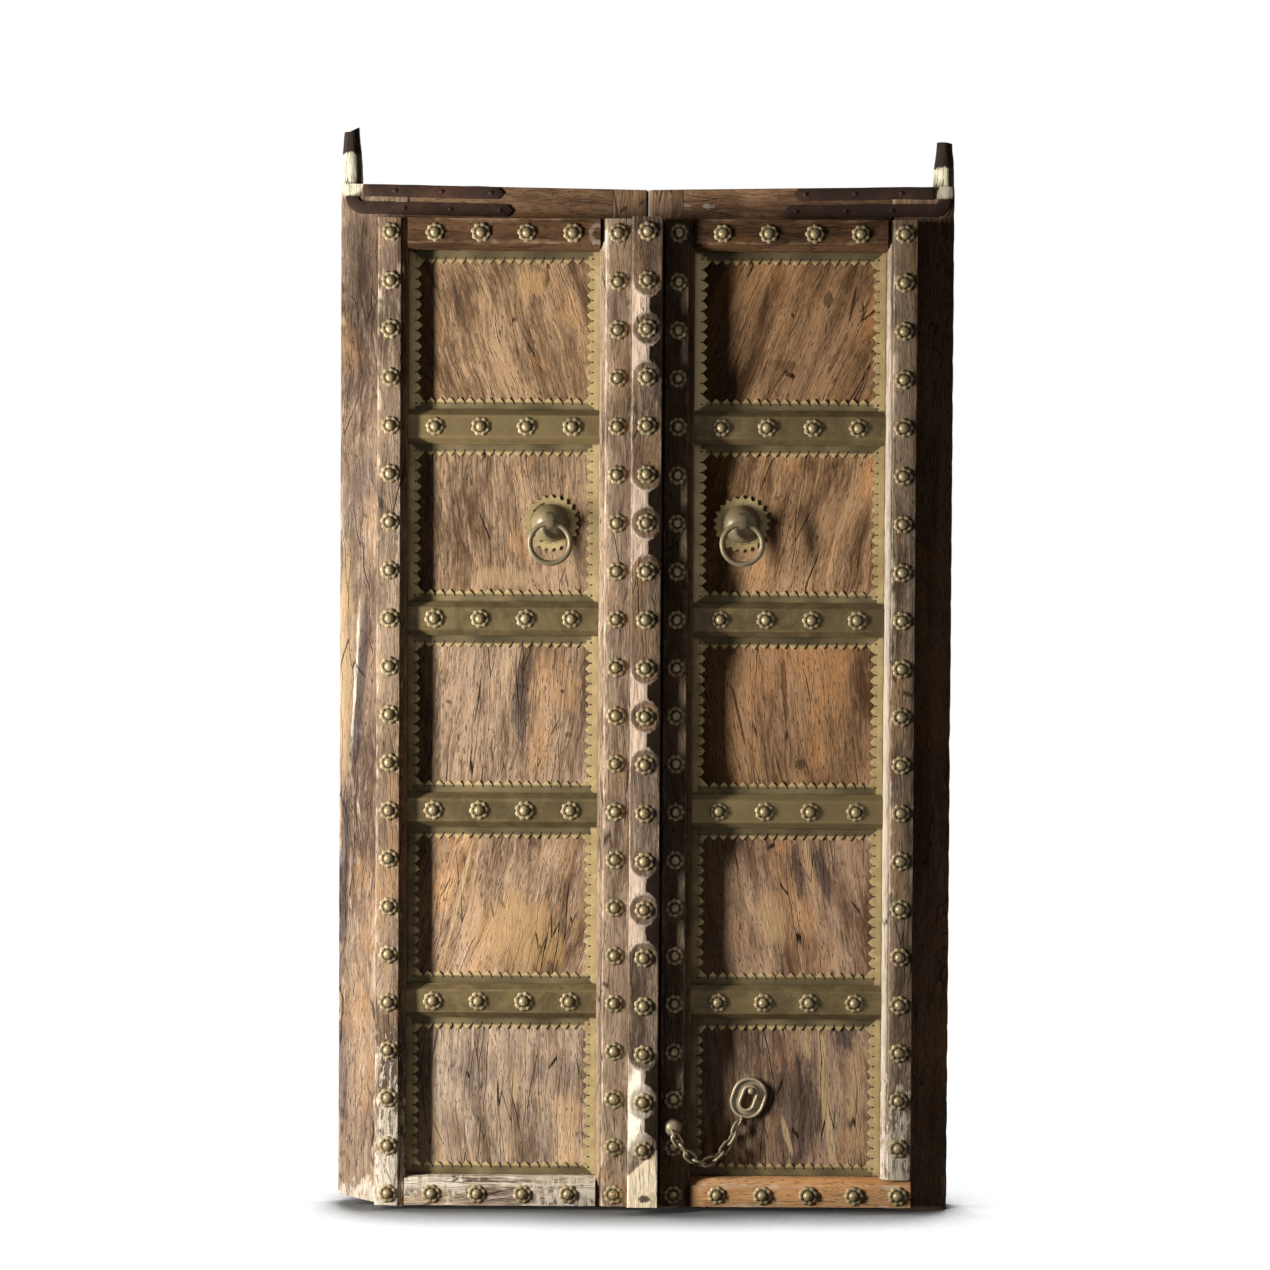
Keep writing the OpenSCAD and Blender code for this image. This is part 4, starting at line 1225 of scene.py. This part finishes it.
@dataclass
class IronStraps:
    """The two forged straps and their nails at the top of a leaf."""

    side: Side
    first_nails: tuple[float, ...] = (292.0, 275.0)
    nail_steps: tuple[float, ...] = (0.0, 92.0, 178.0)
    drop: float = 32.0
    beat: float = 1.3

    def build(self, finish: IronFinish) -> None:
        """Rounds and beats the straps, and drives their nails.

        Args:
            finish: The iron.
        """
        side, word = self.side, self.side.word
        shape = softened(f"{word}_iron_straps", 0.8)
        for _ in range(2):
            long = [e for e in shape.edges if e.calc_length() > 22.0]
            bmesh.ops.subdivide_edges(shape, edges=long, cuts=3)
        for v in shape.verts:
            v.co.z += self.beat * noise.noise(Vector((v.co.x / 42.0, 3.0, v.co.z / 60.0)))
        material = finish.material()
        add_piece(f"{word}_straps_forged", shape, METRES, side.body, material, [f"{word}_iron_straps"])
        head = lathe([(4.6, 0.0), (4.4, 1.0), (2.8, 2.1), (0.0, 2.4)], 9)
        places = [(first + step, row * self.drop) for row, first in enumerate(self.first_nails)
                  for step in self.nail_steps]
        stamp(head, [facing(u, -2.9, top_edge(u) - 11.8 - low, u) for u, low in places])
        add_piece(f"{word}_strap_nails", head, side.matrix, side.body, material)


@dataclass
class RingPull:
    """A toothed plate under a dome, with an eye and a ring."""

    side: Side
    middle: Vector = field(default_factory=lambda: Vector((178.0, PANEL_SET, 1280.5)))
    teeth: int = 22
    rings: tuple[float, ...] = (20.0, 40.0, 45.0)
    notch_r: float = 46.2
    tip_r: float = 53.5
    plate_t: float = 1.5
    plate_top: float = 1.6
    tip_top: float = 2.0
    eye_skin: float = -0.4

    def build(self, finish: BrassFinish, sheet: BrassFinish) -> None:
        """Makes the plate and the eye, and dresses the dome and the ring.

        Args:
            finish: The cast brass.
            sheet: The plate's brass.
        """
        side, word = self.side, self.side.word
        material = finish.material()
        plate = bmesh.new()
        layer = rubbed(plate)
        loops = []
        for radius in (*self.rings, 1.0):
            ring = bmesh.ops.create_circle(plate, segments=self.teeth * 2, radius=radius,
                                           matrix=Matrix.Translation((0.0, 0.0, self.plate_top)))["verts"]
            loops.append(ring)
        for k, v in enumerate(loops[-1]):
            reach, top = (self.notch_r, self.plate_top) if k % 2 else (self.tip_r, self.tip_top)
            v.co = Vector((v.co.x * reach, v.co.y * reach, top))
            v[layer] = 0.6
        bmesh.ops.bridge_loops(plate, edges=list(plate.edges))
        bmesh.ops.recalc_face_normals(plate, faces=plate.faces)
        bmesh.ops.solidify(plate, geom=list(plate.faces), thickness=self.plate_t)
        add_piece(f"{word}_pull_plate_cut", plate, side.matrix @ facing(*self.middle), side.body, sheet.material(),
                  [f"{word}_pull_plate"])
        eye = softened(f"{word}_pull_staple", 1.2)
        layer = rubbed(eye)
        for v in eye.verts:
            v[layer] = self.eye_skin
        add_piece(f"{word}_pull_eye", eye, METRES, side.body, material, [f"{word}_pull_staple"])
        for node in ("pull_dome", "pull_ring"):
            dress(f"{word}_{node}", material)


def dress(node: str, material: bpy.types.Material) -> None:
    """Gives a node that stays in the scene its finish.

    Args:
        node: The node's name.
        material: Its finish.
    """
    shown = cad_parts[node]
    shown.data.materials.clear()
    shown.data.materials.append(material)
    log.info("%s: dressed", node)


@dataclass
class HaspChain:
    """The hasp on its peg, its chain and the boss that the chain hangs from."""

    middle: Vector = field(default_factory=lambda: Vector((197.63, 1.2, 207.25)))
    lean: float = 20.0
    swell: float = 0.6

    def bead(self, reach: float, straight: float, tube: float) -> bmesh.types.BMesh:
        """A round bead along a long oval.

        Args:
            reach: Half of the oval's width.
            straight: Length of its straight sides.
            tube: The bead's radius.

        Returns:
            The bead, flat in X and Y.
        """
        shape = bmesh.new()
        start = Matrix.Translation((reach, -straight / 2, 0.0)) @ Matrix.Rotation(math.pi / 2, 4, "X")
        bmesh.ops.create_circle(shape, segments=10, radius=tube, matrix=start)
        geom = list(shape.verts) + list(shape.edges)
        for end in (0.5, -0.5):
            middle = (0.0, straight * end, 0.0)
            geom = bmesh.ops.spin(shape, geom=geom, cent=middle, axis=(0, 0, 1), dvec=(0.0, straight * end * 2, 0.0),
                                  angle=0.0, steps=1, use_duplicate=False)["geom_last"]
            geom = bmesh.ops.spin(shape, geom=geom, cent=middle, axis=(0, 0, 1), angle=math.pi, steps=16,
                                  use_duplicate=False)["geom_last"]
        bmesh.ops.remove_doubles(shape, verts=shape.verts, dist=0.01)
        layer = rubbed(shape)
        for v in shape.verts:
            v[layer] = 0.8 if v.co.z > tube * 0.5 else -0.3
        return shape

    def build(self, finish: BrassFinish) -> None:
        """Rounds the hasp, lays its beads and dresses the rest.

        Args:
            finish: The brass.
        """
        material, body = finish.material(), Side.RIGHT.body
        add_piece("hasp_cast", softened("hasp", 1.0), METRES, body, material, ["hasp"])
        for name, reach, straight, tube, lift in (("outer", 29.6, 14.0, 3.3, 0.4), ("inner", 13.2, 20.0, 3.3, 2.0)):
            place = facing(self.middle.x, self.middle.y - lift, self.middle.z, -math.radians(self.lean))
            add_piece(f"hasp_{name}_bead", self.bead(reach, straight, tube), Side.RIGHT.matrix @ place, body, material)
        for node, carrier in (("chain_links", "hasp_chain"), ("chain_end_links", body)):
            links = softened(node, 0.0)
            links.normal_update()
            for v in links.verts:
                v.co += v.normal * self.swell * (1.0 + 0.5 * noise.noise(v.co / 3.0))
            add_piece(f"{node}_forged", links, METRES, carrier, material, [node], 60.0)
        for node in ("hasp_peg", "chain_boss"):
            dress(node, material)


@dataclass
class Studio:
    """Camera, lamps, floor and backdrop."""

    eye: Vector = field(default_factory=lambda: Vector((-0.0048, -5.0, 1.1822)))
    pitch: float = -1.25
    yaw: float = -0.17
    roll: float = 0.33
    focal_px: float = 2689.0
    sensor: float = 36.0
    room: Colour = (0.013, 0.0085, 0.0037)
    floor_grey: float = 0.10
    shadow_reach: float = 0.26
    shadow_ramp: Span = (0.585, 0.945)
    shadow_least: float = 0.015

    def camera(self) -> None:
        """Stands the camera where the photograph was taken from."""
        data = bpy.data.cameras.new("camera")
        data.sensor_width = self.sensor
        data.lens = self.focal_px / IMAGE_PX * self.sensor
        made = bpy.data.objects.new("camera", data)
        bpy.context.scene.collection.objects.link(made)
        stand = Matrix.Translation(self.eye)
        for angle, axis in ((-self.yaw, "Z"), (90.0 + self.pitch, "X"), (self.roll, "Z")):
            stand = stand @ Matrix.Rotation(math.radians(angle), 4, axis)
        made.matrix_world = stand
        bpy.context.scene.camera = made

    def lamp(self, name: str, power: float, size: Point2, place: Vector, aim: Vector, colour: Colour) -> None:
        """Adds one soft lamp.

        Args:
            name: Its name.
            power: Its power in watts.
            size: Its width and height in metres.
            place: Where it stands.
            aim: What it points at.
            colour: Its light.
        """
        data = bpy.data.lights.new(name, "AREA")
        data.shape = "RECTANGLE"
        data.size, data.size_y = size
        data.energy = power
        data.color = colour
        made = bpy.data.objects.new(name, data)
        bpy.context.scene.collection.objects.link(made)
        turn = (aim - place).to_track_quat("-Z", "Y")
        made.matrix_world = Matrix.Translation(place) @ turn.to_matrix().to_4x4()

    def white(self, name: str, shadow: bool) -> bpy.types.Material:
        """White for the camera and for reflections; the floor also takes shadows.

        Args:
            name: The material's name.
            shadow: Whether contact and cast shadows show.

        Returns:
            The new material.
        """
        made, b = new_material(name)
        strength, grey = b.background_seen(), 0.0
        if shadow:
            near = b.node("ShaderNodeAmbientOcclusion", {"samples": 8}, {"Distance": self.shadow_reach}, "AO")
            strength, grey = strength * (self.shadow_least + b.ramp(near, *self.shadow_ramp)), self.floor_grey
        glow = b.node("ShaderNodeEmission", None, {"Color": (1.0, 1.0, 1.0, 1.0), "Strength": strength})
        matt = b.node("ShaderNodeBsdfDiffuse", None, {"Color": (grey, grey, grey, 1.0)})
        b.output(b.node("ShaderNodeAddShader", None, {0: glow, 1: matt}))
        return made

    def sheet(self, name: str, place: Matrix, half: float, material: bpy.types.Material) -> None:
        """Adds a flat stage piece.

        Args:
            name: Its name.
            place: Takes the level sheet to its place.
            half: Half of its width.
            material: Its finish.
        """
        shape = bmesh.new()
        bmesh.ops.create_grid(shape, x_segments=1, y_segments=1, size=half, matrix=place)
        mesh = bpy.data.meshes.new(name)
        shape.to_mesh(mesh)
        shape.free()
        mesh.materials.append(material)
        made = bpy.data.objects.new(name, mesh)
        bpy.context.scene.collection.objects.link(made)

    def build(self) -> None:
        """Sets up the whole studio."""
        self.camera()
        scene = bpy.context.scene
        scene.view_settings.view_transform = "Standard"
        world = bpy.data.worlds.new("studio")
        world.use_nodes = True
        scene.world = world
        b = Bench(world.node_tree)
        room = b.mix(self.room, (1.0, 1.0, 1.0), b.background_seen())
        b.output(b.node("ShaderNodeBackground", None, {"Color": room, "Strength": 1.0}), "ShaderNodeOutputWorld")
        self.lamp("window", 242.0, (0.24, 1.9), Vector((-2.55, -1.12, 0.98)), Vector((0.0, 0.0, 0.95)),
                  (1.0, 0.965, 0.92))
        self.lamp("rear", 90.0, (1.6, 1.6), Vector((1.2, 3.4, 1.9)), Vector((0.0, 0.0, 1.0)), (1.0, 0.98, 0.95))
        self.sheet("floor", Matrix.Identity(4), 10.7, self.white("floor_white", True))
        self.sheet("backdrop", Matrix.Translation((0.0, 11.0, 5.0)) @ Matrix.Rotation(math.pi / 2, 4, "X"), 14.0,
                   self.white("backdrop_white", False))


# Marks on the timber; the stains darken what is under them
CHALK = (0.62, 0.55, 0.45)
CREAM = (0.74, 0.68, 0.50)
RAW = (0.92, 0.78, 0.54)
TAR = (0.035, 0.024, 0.019)
CHAR = (0.16, 0.16, 0.18)
INK = (0.40, 0.42, 0.56)
UMBER = (0.50, 0.46, 0.44)
STAINS = (CHAR, INK, UMBER)
TAN = (0.50, 0.35, 0.19)
HONEY = (0.50, 0.31, 0.13)

BASE_DARK, BASE_LIGHT = (0.075, 0.048, 0.033), (0.35, 0.25, 0.175)
FACE_DARK, FACE_LIGHT = (0.08, 0.052, 0.034), (0.35, 0.25, 0.17)
RAIL_DARK, RAIL_LIGHT = (0.085, 0.048, 0.027), (0.29, 0.175, 0.098)
PANEL_DARK, PANEL_LIGHT, PANEL_WORN = (0.095, 0.052, 0.026), (0.50, 0.32, 0.178), (0.55, 0.41, 0.27)


def blot(x: float, z: float, size: Point2, colour: Colour, cover: float = 0.7, turn: float = 0.0,
         ragged: float = 0.9) -> Patch:
    """A ragged patch on the front; x, z and size in millimetres."""
    blend = "MULTIPLY" if colour in STAINS else "MIX"
    return Patch(Mark.BLOT, x, z, size, colour, cover, ragged, turn=turn, blend=blend)


def base_finishes(side: Side) -> dict[str, TeakFinish]:
    """The base members' timber.

    Args:
        side: The leaf.

    Returns:
        A finish for each member.
    """
    word, s = side.word, side.value
    left = side is Side.LEFT
    horn_x, horn_top = s * HORN_U, LEAF_H + side.horn_h
    painted = (
        Patch(Mark.BLOT, horn_x, 1932.0, (44.0, 50.0), CREAM, 1.0, 0.22, 45.0, 0.0, 0.12),
        Patch(Mark.BLOT, horn_x, horn_top + 160.0, (260.0, 233.0), TAR, 1.0, 0.03, 70.0, 0.0, 0.012),
    )
    aged = (
        blot(-510.0, 1690.0, (70.0, 240.0), UMBER, 0.6, 0.0, 0.9),
        blot(-558.0, 1020.0, (15.0, 225.0), TAN, 0.55, 0.0, 0.4),
        blot(-532.0, 970.0, (9.0, 190.0), INK, 0.85, 4.0, 0.5),
        blot(-541.0, 985.0, (3.0, 160.0), CHALK, 0.9, 3.0, 0.7),
        blot(-561.0, 620.0, (10.0, 170.0), INK, 0.85, 1.0, 0.5),
        blot(-563.0, 250.0, (8.0, 120.0), INK, 0.6, -1.0, 0.7),
        Patch(Mark.BLOT, -520.0, 8.0, (80.0, 34.0), CHALK, 0.9, 1.5, 110.0),
    ) if left else ()
    flakes = () if left else (
        Patch(Mark.BLOT, 46.0, 1874.0, (9.0, 6.0), CHALK, 0.9, 0.7, 120.0),
        Patch(Mark.BLOT, 112.0, 1870.0, (12.0, 5.0), CHALK, 0.9, 0.9, 120.0),
        Patch(Mark.BLOT, 72.0, 1872.0, (8.0, 3.0), CHALK, 0.8, 0.9, 120.0),
    )
    if left:
        stile, bleach = (BASE_DARK, BASE_LIGHT), 0.6
        rail = ((0.075, 0.042, 0.024), (0.255, 0.154, 0.086))
    else:
        # The right hinge stile is made paler as painted light, lifting the shade that its outer face stile casts on it
        stile, bleach = ((0.13, 0.08, 0.048), (0.56, 0.36, 0.23)), 0.2
        rail = ((0.12, 0.066, 0.036), (0.40, 0.235, 0.128))
    return {
        "hinge_stile": TeakFinish(f"{word}_hinge_teak", *stile, seed=1.0 + s, stains=0.8, bleach=bleach,
                                  patches=aged + painted),
        "lock_stile": TeakFinish(f"{word}_lock_teak", RAIL_DARK, RAIL_LIGHT, seed=2.4 + s, bleach=0.2),
        "top_rail": TeakFinish(f"{word}_top_teak", *rail, across=True, seed=3.1 + s, bleach=0.12, patches=flakes),
        # The bottom rail is near-black as painted shade under the face frame's overhang
        "bottom_rail": TeakFinish(f"{word}_foot_teak", (0.03, 0.02, 0.014), (0.12, 0.08, 0.055), across=True,
                                  seed=4.2 + s),
    }


def face_finishes(side: Side) -> dict[str, TeakFinish]:
    """The face members' timber.

    Args:
        side: The leaf.

    Returns:
        A finish for each member.
    """
    word, s = side.word, side.value
    left = side is Side.LEFT
    ring, smear = (), ()
    if left:
        ring = (Patch(Mark.RING, -92.0, 1815.0, (13.0, 16.0), CHALK, 0.24, 1.2, 190.0),)
        smear = (Patch(Mark.BLOT, -76.0, 1800.0, (7.0, 30.0), CHALK, 0.75, 1.0, 130.0),)
        outer = ((0.074, 0.048, 0.031), (0.325, 0.232, 0.157))
        foot = (Patch(Mark.BLOT, s * OUTER_STUD_U, 30.0, (42.0, 190.0), CHALK, 0.9, 2.2, 110.0),)
        bottom = TeakFinish(
            f"{word}_bottom_face_teak", FACE_DARK, (0.50, 0.39, 0.29), (0.74, 0.65, 0.53), across=True, seed=8.1,
            bleach=1.0,
            patches=(Patch(Mark.BLOT, -120.0, 30.0, (70.0, 28.0), CHALK, 0.8, 2.0, 110.0),
                     Patch(Mark.BLOT, -395.0, 50.0, (80.0, 20.0), CHALK, 0.8, 2.0, 110.0)))
    else:
        outer = ((0.064, 0.042, 0.027), (0.28, 0.20, 0.135), (0.48, 0.385, 0.285))
        # The second patch is a pale stripe down the outer face stile's moulding, a painted highlight where the moulding
        # faces the light
        foot = (Patch(Mark.BLOT, s * OUTER_STUD_U, 30.0, (42.0, 150.0), CHALK, 0.75, 2.2, 110.0),
                blot(448.0, 900.0, (6.0, 1000.0), CHALK, 0.55, 0.0, 0.35))
        bottom = TeakFinish(f"{word}_bottom_face_teak", (0.32, 0.16, 0.068), (0.56, 0.33, 0.16), across=True, seed=8.9,
                            bleach=0.1, stains=0.1, cracks=0.3)
    return {
        "inner_face_stile": TeakFinish(f"{word}_inner_face_teak", FACE_DARK, FACE_LIGHT, seed=5.3 + s, bleach=0.4,
                                       patches=smear),
        "outer_face_stile": TeakFinish(f"{word}_outer_face_teak", *outer, seed=6.6 + s, bleach=0.42, patches=foot),
        "top_face_rail": TeakFinish(f"{word}_top_face_teak", (0.040, 0.021, 0.011), (0.13, 0.069, 0.033),
                                    (0.30, 0.20, 0.125), across=True, seed=7.7 + s, bleach=0.1, patches=ring),
        "bottom_face_rail": bottom,
    }


def panel_finishes(side: Side) -> list[TeakFinish]:
    """The boards' timber, from the top down, each with its own lean of grain.

    Args:
        side: The leaf.

    Returns:
        Five finishes.
    """
    left = side is Side.LEFT
    leans = (16.0, 3.0, -4.0, -13.0, 1.0) if left else (-22.0, -11.0, 5.0, 8.0, 4.0)
    stains = (0.45, 0.4, 0.4, 0.3, 0.55) if left else (0.4, 0.3, 0.45, 0.4, 0.95)
    bleach = (0.3, 0.3, 0.3, 0.3, 0.5) if left else (0.15, 0.15, 0.2, 0.35, 0.3)
    marks = (
        (blot(-354.0, 1689.0, (6.0, 42.0), INK, 0.65, -12.0), blot(-228.0, 1574.0, (7.0, 36.0), INK, 0.6, -15.0),
         blot(-214.0, 1724.0, (40.0, 26.0), HONEY, 0.55)),
        (blot(-330.0, 1330.0, (10.0, 60.0), UMBER, 0.5, -3.0), blot(-260.0, 1180.0, (60.0, 22.0), TAN, 0.4)),
        (blot(-230.0, 955.0, (17.0, 95.0), INK, 0.7, 5.0), blot(-258.0, 1015.0, (4.0, 48.0), TAN, 0.8, 3.0),
         blot(-143.0, 886.0, (8.0, 6.0), UMBER, 0.9, 0.0, 0.3), blot(-155.0, 967.0, (4.0, 4.0), CHAR, 0.8, 0.0, 0.3),
         blot(-367.0, 946.0, (6.0, 4.0), CHAR, 0.7, 20.0, 0.3)),
        (blot(-374.0, 660.0, (44.0, 46.0), UMBER, 0.6, 12.0, 0.9),
         blot(-347.0, 575.0, (4.5, 128.0), TAN, 0.9, 13.5, 0.4),
         blot(-235.0, 515.0, (95.0, 75.0), HONEY, 0.55, 10.0, 0.8)),
        (blot(-241.0, 230.0, (9.0, 34.0), TAN, 0.75), blot(-318.0, 262.0, (50.0, 48.0), INK, 0.4, 0.0, 1.0),
         blot(-165.0, 255.0, (32.0, 50.0), INK, 0.4, 0.0, 1.0), blot(-385.0, 130.0, (9.0, 60.0), TAN, 0.6, -8.0)),
    ) if left else (
        (blot(336.0, 1700.0, (10.0, 13.0), CHAR, 0.7), blot(259.0, 1576.0, (30.0, 13.0), UMBER, 0.7, 10.0),
         blot(382.0, 1690.0, (3.0, 42.0), CHAR, 0.9, 12.0, 0.5), blot(355.0, 1600.0, (4.0, 42.0), CHAR, 0.6, 25.0)),
        (blot(320.0, 1390.0, (40.0, 14.0), UMBER, 0.5, -8.0),),
        (blot(174.0, 925.0, (3.0, 75.0), CHAR, 0.8, -13.0, 0.5), blot(259.0, 975.0, (5.0, 70.0), UMBER, 0.9, -5.0),
         blot(290.0, 832.0, (13.0, 10.0), CHAR, 0.6)),
        (blot(286.0, 630.0, (8.0, 60.0), INK, 0.8, -8.0), blot(333.0, 630.0, (10.0, 60.0), INK, 0.85, -13.0),
         blot(312.0, 630.0, (5.0, 75.0), TAN, 0.9, -10.0, 0.5), blot(240.0, 540.0, (24.0, 52.0), TAN, 0.6, -8.0, 0.9)),
        (blot(290.0, 190.0, (48.0, 110.0), INK, 0.65, -4.0, 0.9), blot(378.0, 322.0, (24.0, 30.0), INK, 0.85),
         blot(340.0, 236.0, (9.0, 130.0), TAN, 0.95, -4.0, 0.5), blot(353.0, 136.0, (9.0, 48.0), TAN, 0.85, -6.0),
         blot(309.0, 306.0, (8.0, 27.0), TAN, 0.85, -6.0), blot(270.0, 136.0, (6.0, 40.0), TAN, 0.9, -15.0, 0.4),
         blot(400.0, 215.0, (13.0, 95.0), TAN, 0.65, 0.0, 1.2)),
    )
    tints = (
        (0.93, 0.94, 0.95), (0.93, 0.97, 1.06), (0.90, 0.97, 1.13), (1.10, 1.17, 1.34), (1.10, 1.28, 1.62),
    ) if left else (
        (0.78, 0.71, 0.65), (1.06, 1.0, 0.95), (0.87, 0.81, 0.78), (1.0, 1.0, 1.13), (0.94, 1.0, 1.2),
    )

    def tinted(colour: Colour, i: int) -> Colour:
        """A colour as the i-th board has it."""
        return tuple(c * k for c, k in zip(colour, tints[i - 1]))

    return [TeakFinish(f"{side.word}_panel_{i}_teak", tinted(PANEL_DARK, i), tinted(PANEL_LIGHT, i),
                       tinted(PANEL_WORN, i), lean=leans[i - 1], seed=10.0 + i * 1.9 + side.value * 0.6,
                       stains=stains[i - 1], bleach=bleach[i - 1], cracks=1.0, patches=marks[i - 1])
            for i in PANELS]


def meeting_finish() -> TeakFinish:
    """The meeting stile's timber.

    Returns:
        The finish, with a pale foot, bare wood where it is worn off and a knot.
    """
    return TeakFinish(
        "meeting_teak", (0.062, 0.040, 0.027), (0.26, 0.185, 0.128), (0.48, 0.39, 0.31), seed=9.4, bleach=0.4,
        patches=(Patch(Mark.BLOT, -14.0, 190.0, (26.0, 95.0), CHALK, 0.85, 0.8, 55.0),
                 Patch(Mark.BELOW, 0.0, 97.0, (0.9, 0.0), RAW, 0.95, 0.12, 70.0),
                 Patch(Mark.BLOT, 3.0, 30.0, (11.0, 8.0), TAR, 0.9, 0.6, 90.0)))


def build_metalwork(side: Side) -> None:
    """Puts the studs, sheets, straps and pull on a leaf.

    Args:
        side: The leaf.
    """
    word, s = side.word, side.value
    StudField(side).build(
        BrassFinish(f"{word}_rosette_brass", (0.43, 0.342, 0.195), (0.112, 0.08, 0.037), aged=0.75, scale=60.0,
                    dents=0.1, metal=0.15),
        BrassFinish(f"{word}_stud_brass", (0.34, 0.27, 0.15), (0.11, 0.08, 0.036), aged=0.65, rough=0.26, scale=70.0,
                    dents=0.1, metal=0.3))
    sheet = SheetBrass(side)
    sheet.cladding(BrassFinish(f"{word}_cladding_brass", (0.178, 0.130, 0.058), (0.053, 0.036, 0.015), rough=0.42,
                               metal=0.25, seed=3.0 + s))
    sheet.edging(BrassFinish(f"{word}_edging_brass", (0.53, 0.413, 0.203), (0.28, 0.203, 0.09), aged=0.7, metal=0.2,
                             seed=5.0 + s), IronFinish("edging_nail_iron", seed=2.0))
    IronStraps(side).build(IronFinish(f"{word}_strap_iron", seed=1.0 + s))
    RingPull(side).build(
        BrassFinish(f"{word}_pull_brass", (0.223, 0.18, 0.102), (0.072, 0.055, 0.0266), aged=0.55, rough=0.3,
                    dents=0.12, metal=0.2),
        BrassFinish(f"{word}_plate_brass", (0.45, 0.352, 0.168), (0.208, 0.152, 0.068), aged=0.7, metal=0.2))


def main() -> None:
    """Builds every sub-assembly in order."""
    logging.basicConfig(level=logging.INFO, format="%(name)s %(message)s")
    Studio().build()
    for side in Side:
        BaseFrame(side).build(base_finishes(side))
        FaceFrame(side).build(face_finishes(side))
        PanelSet(side).build(panel_finishes(side))
        build_metalwork(side)
        rails = TeakFinish(f"{side.word}_cross_rail_teak", BASE_DARK, RAIL_LIGHT, across=True, seed=20.0 + side.value)
        material = rails.material()
        for i, _ in enumerate(RAIL_Z, 1):
            dress(f"{side.word}_cross_rail_{i}", material)
    MeetingStile().build(meeting_finish())
    # The lath is near-black as painted shade in the gap between the leaves
    GapLath().build(TeakFinish("lath_painted_shade", (0.03, 0.02, 0.014), (0.07, 0.045, 0.03), seed=12.2, bleach=0.0))
    HaspChain().build(BrassFinish("hasp_brass", (0.34, 0.28, 0.18), (0.11, 0.085, 0.045), aged=0.7, rough=0.32,
                                  dents=0.3, metal=0.2))


if __name__ == "__main__":
    main()
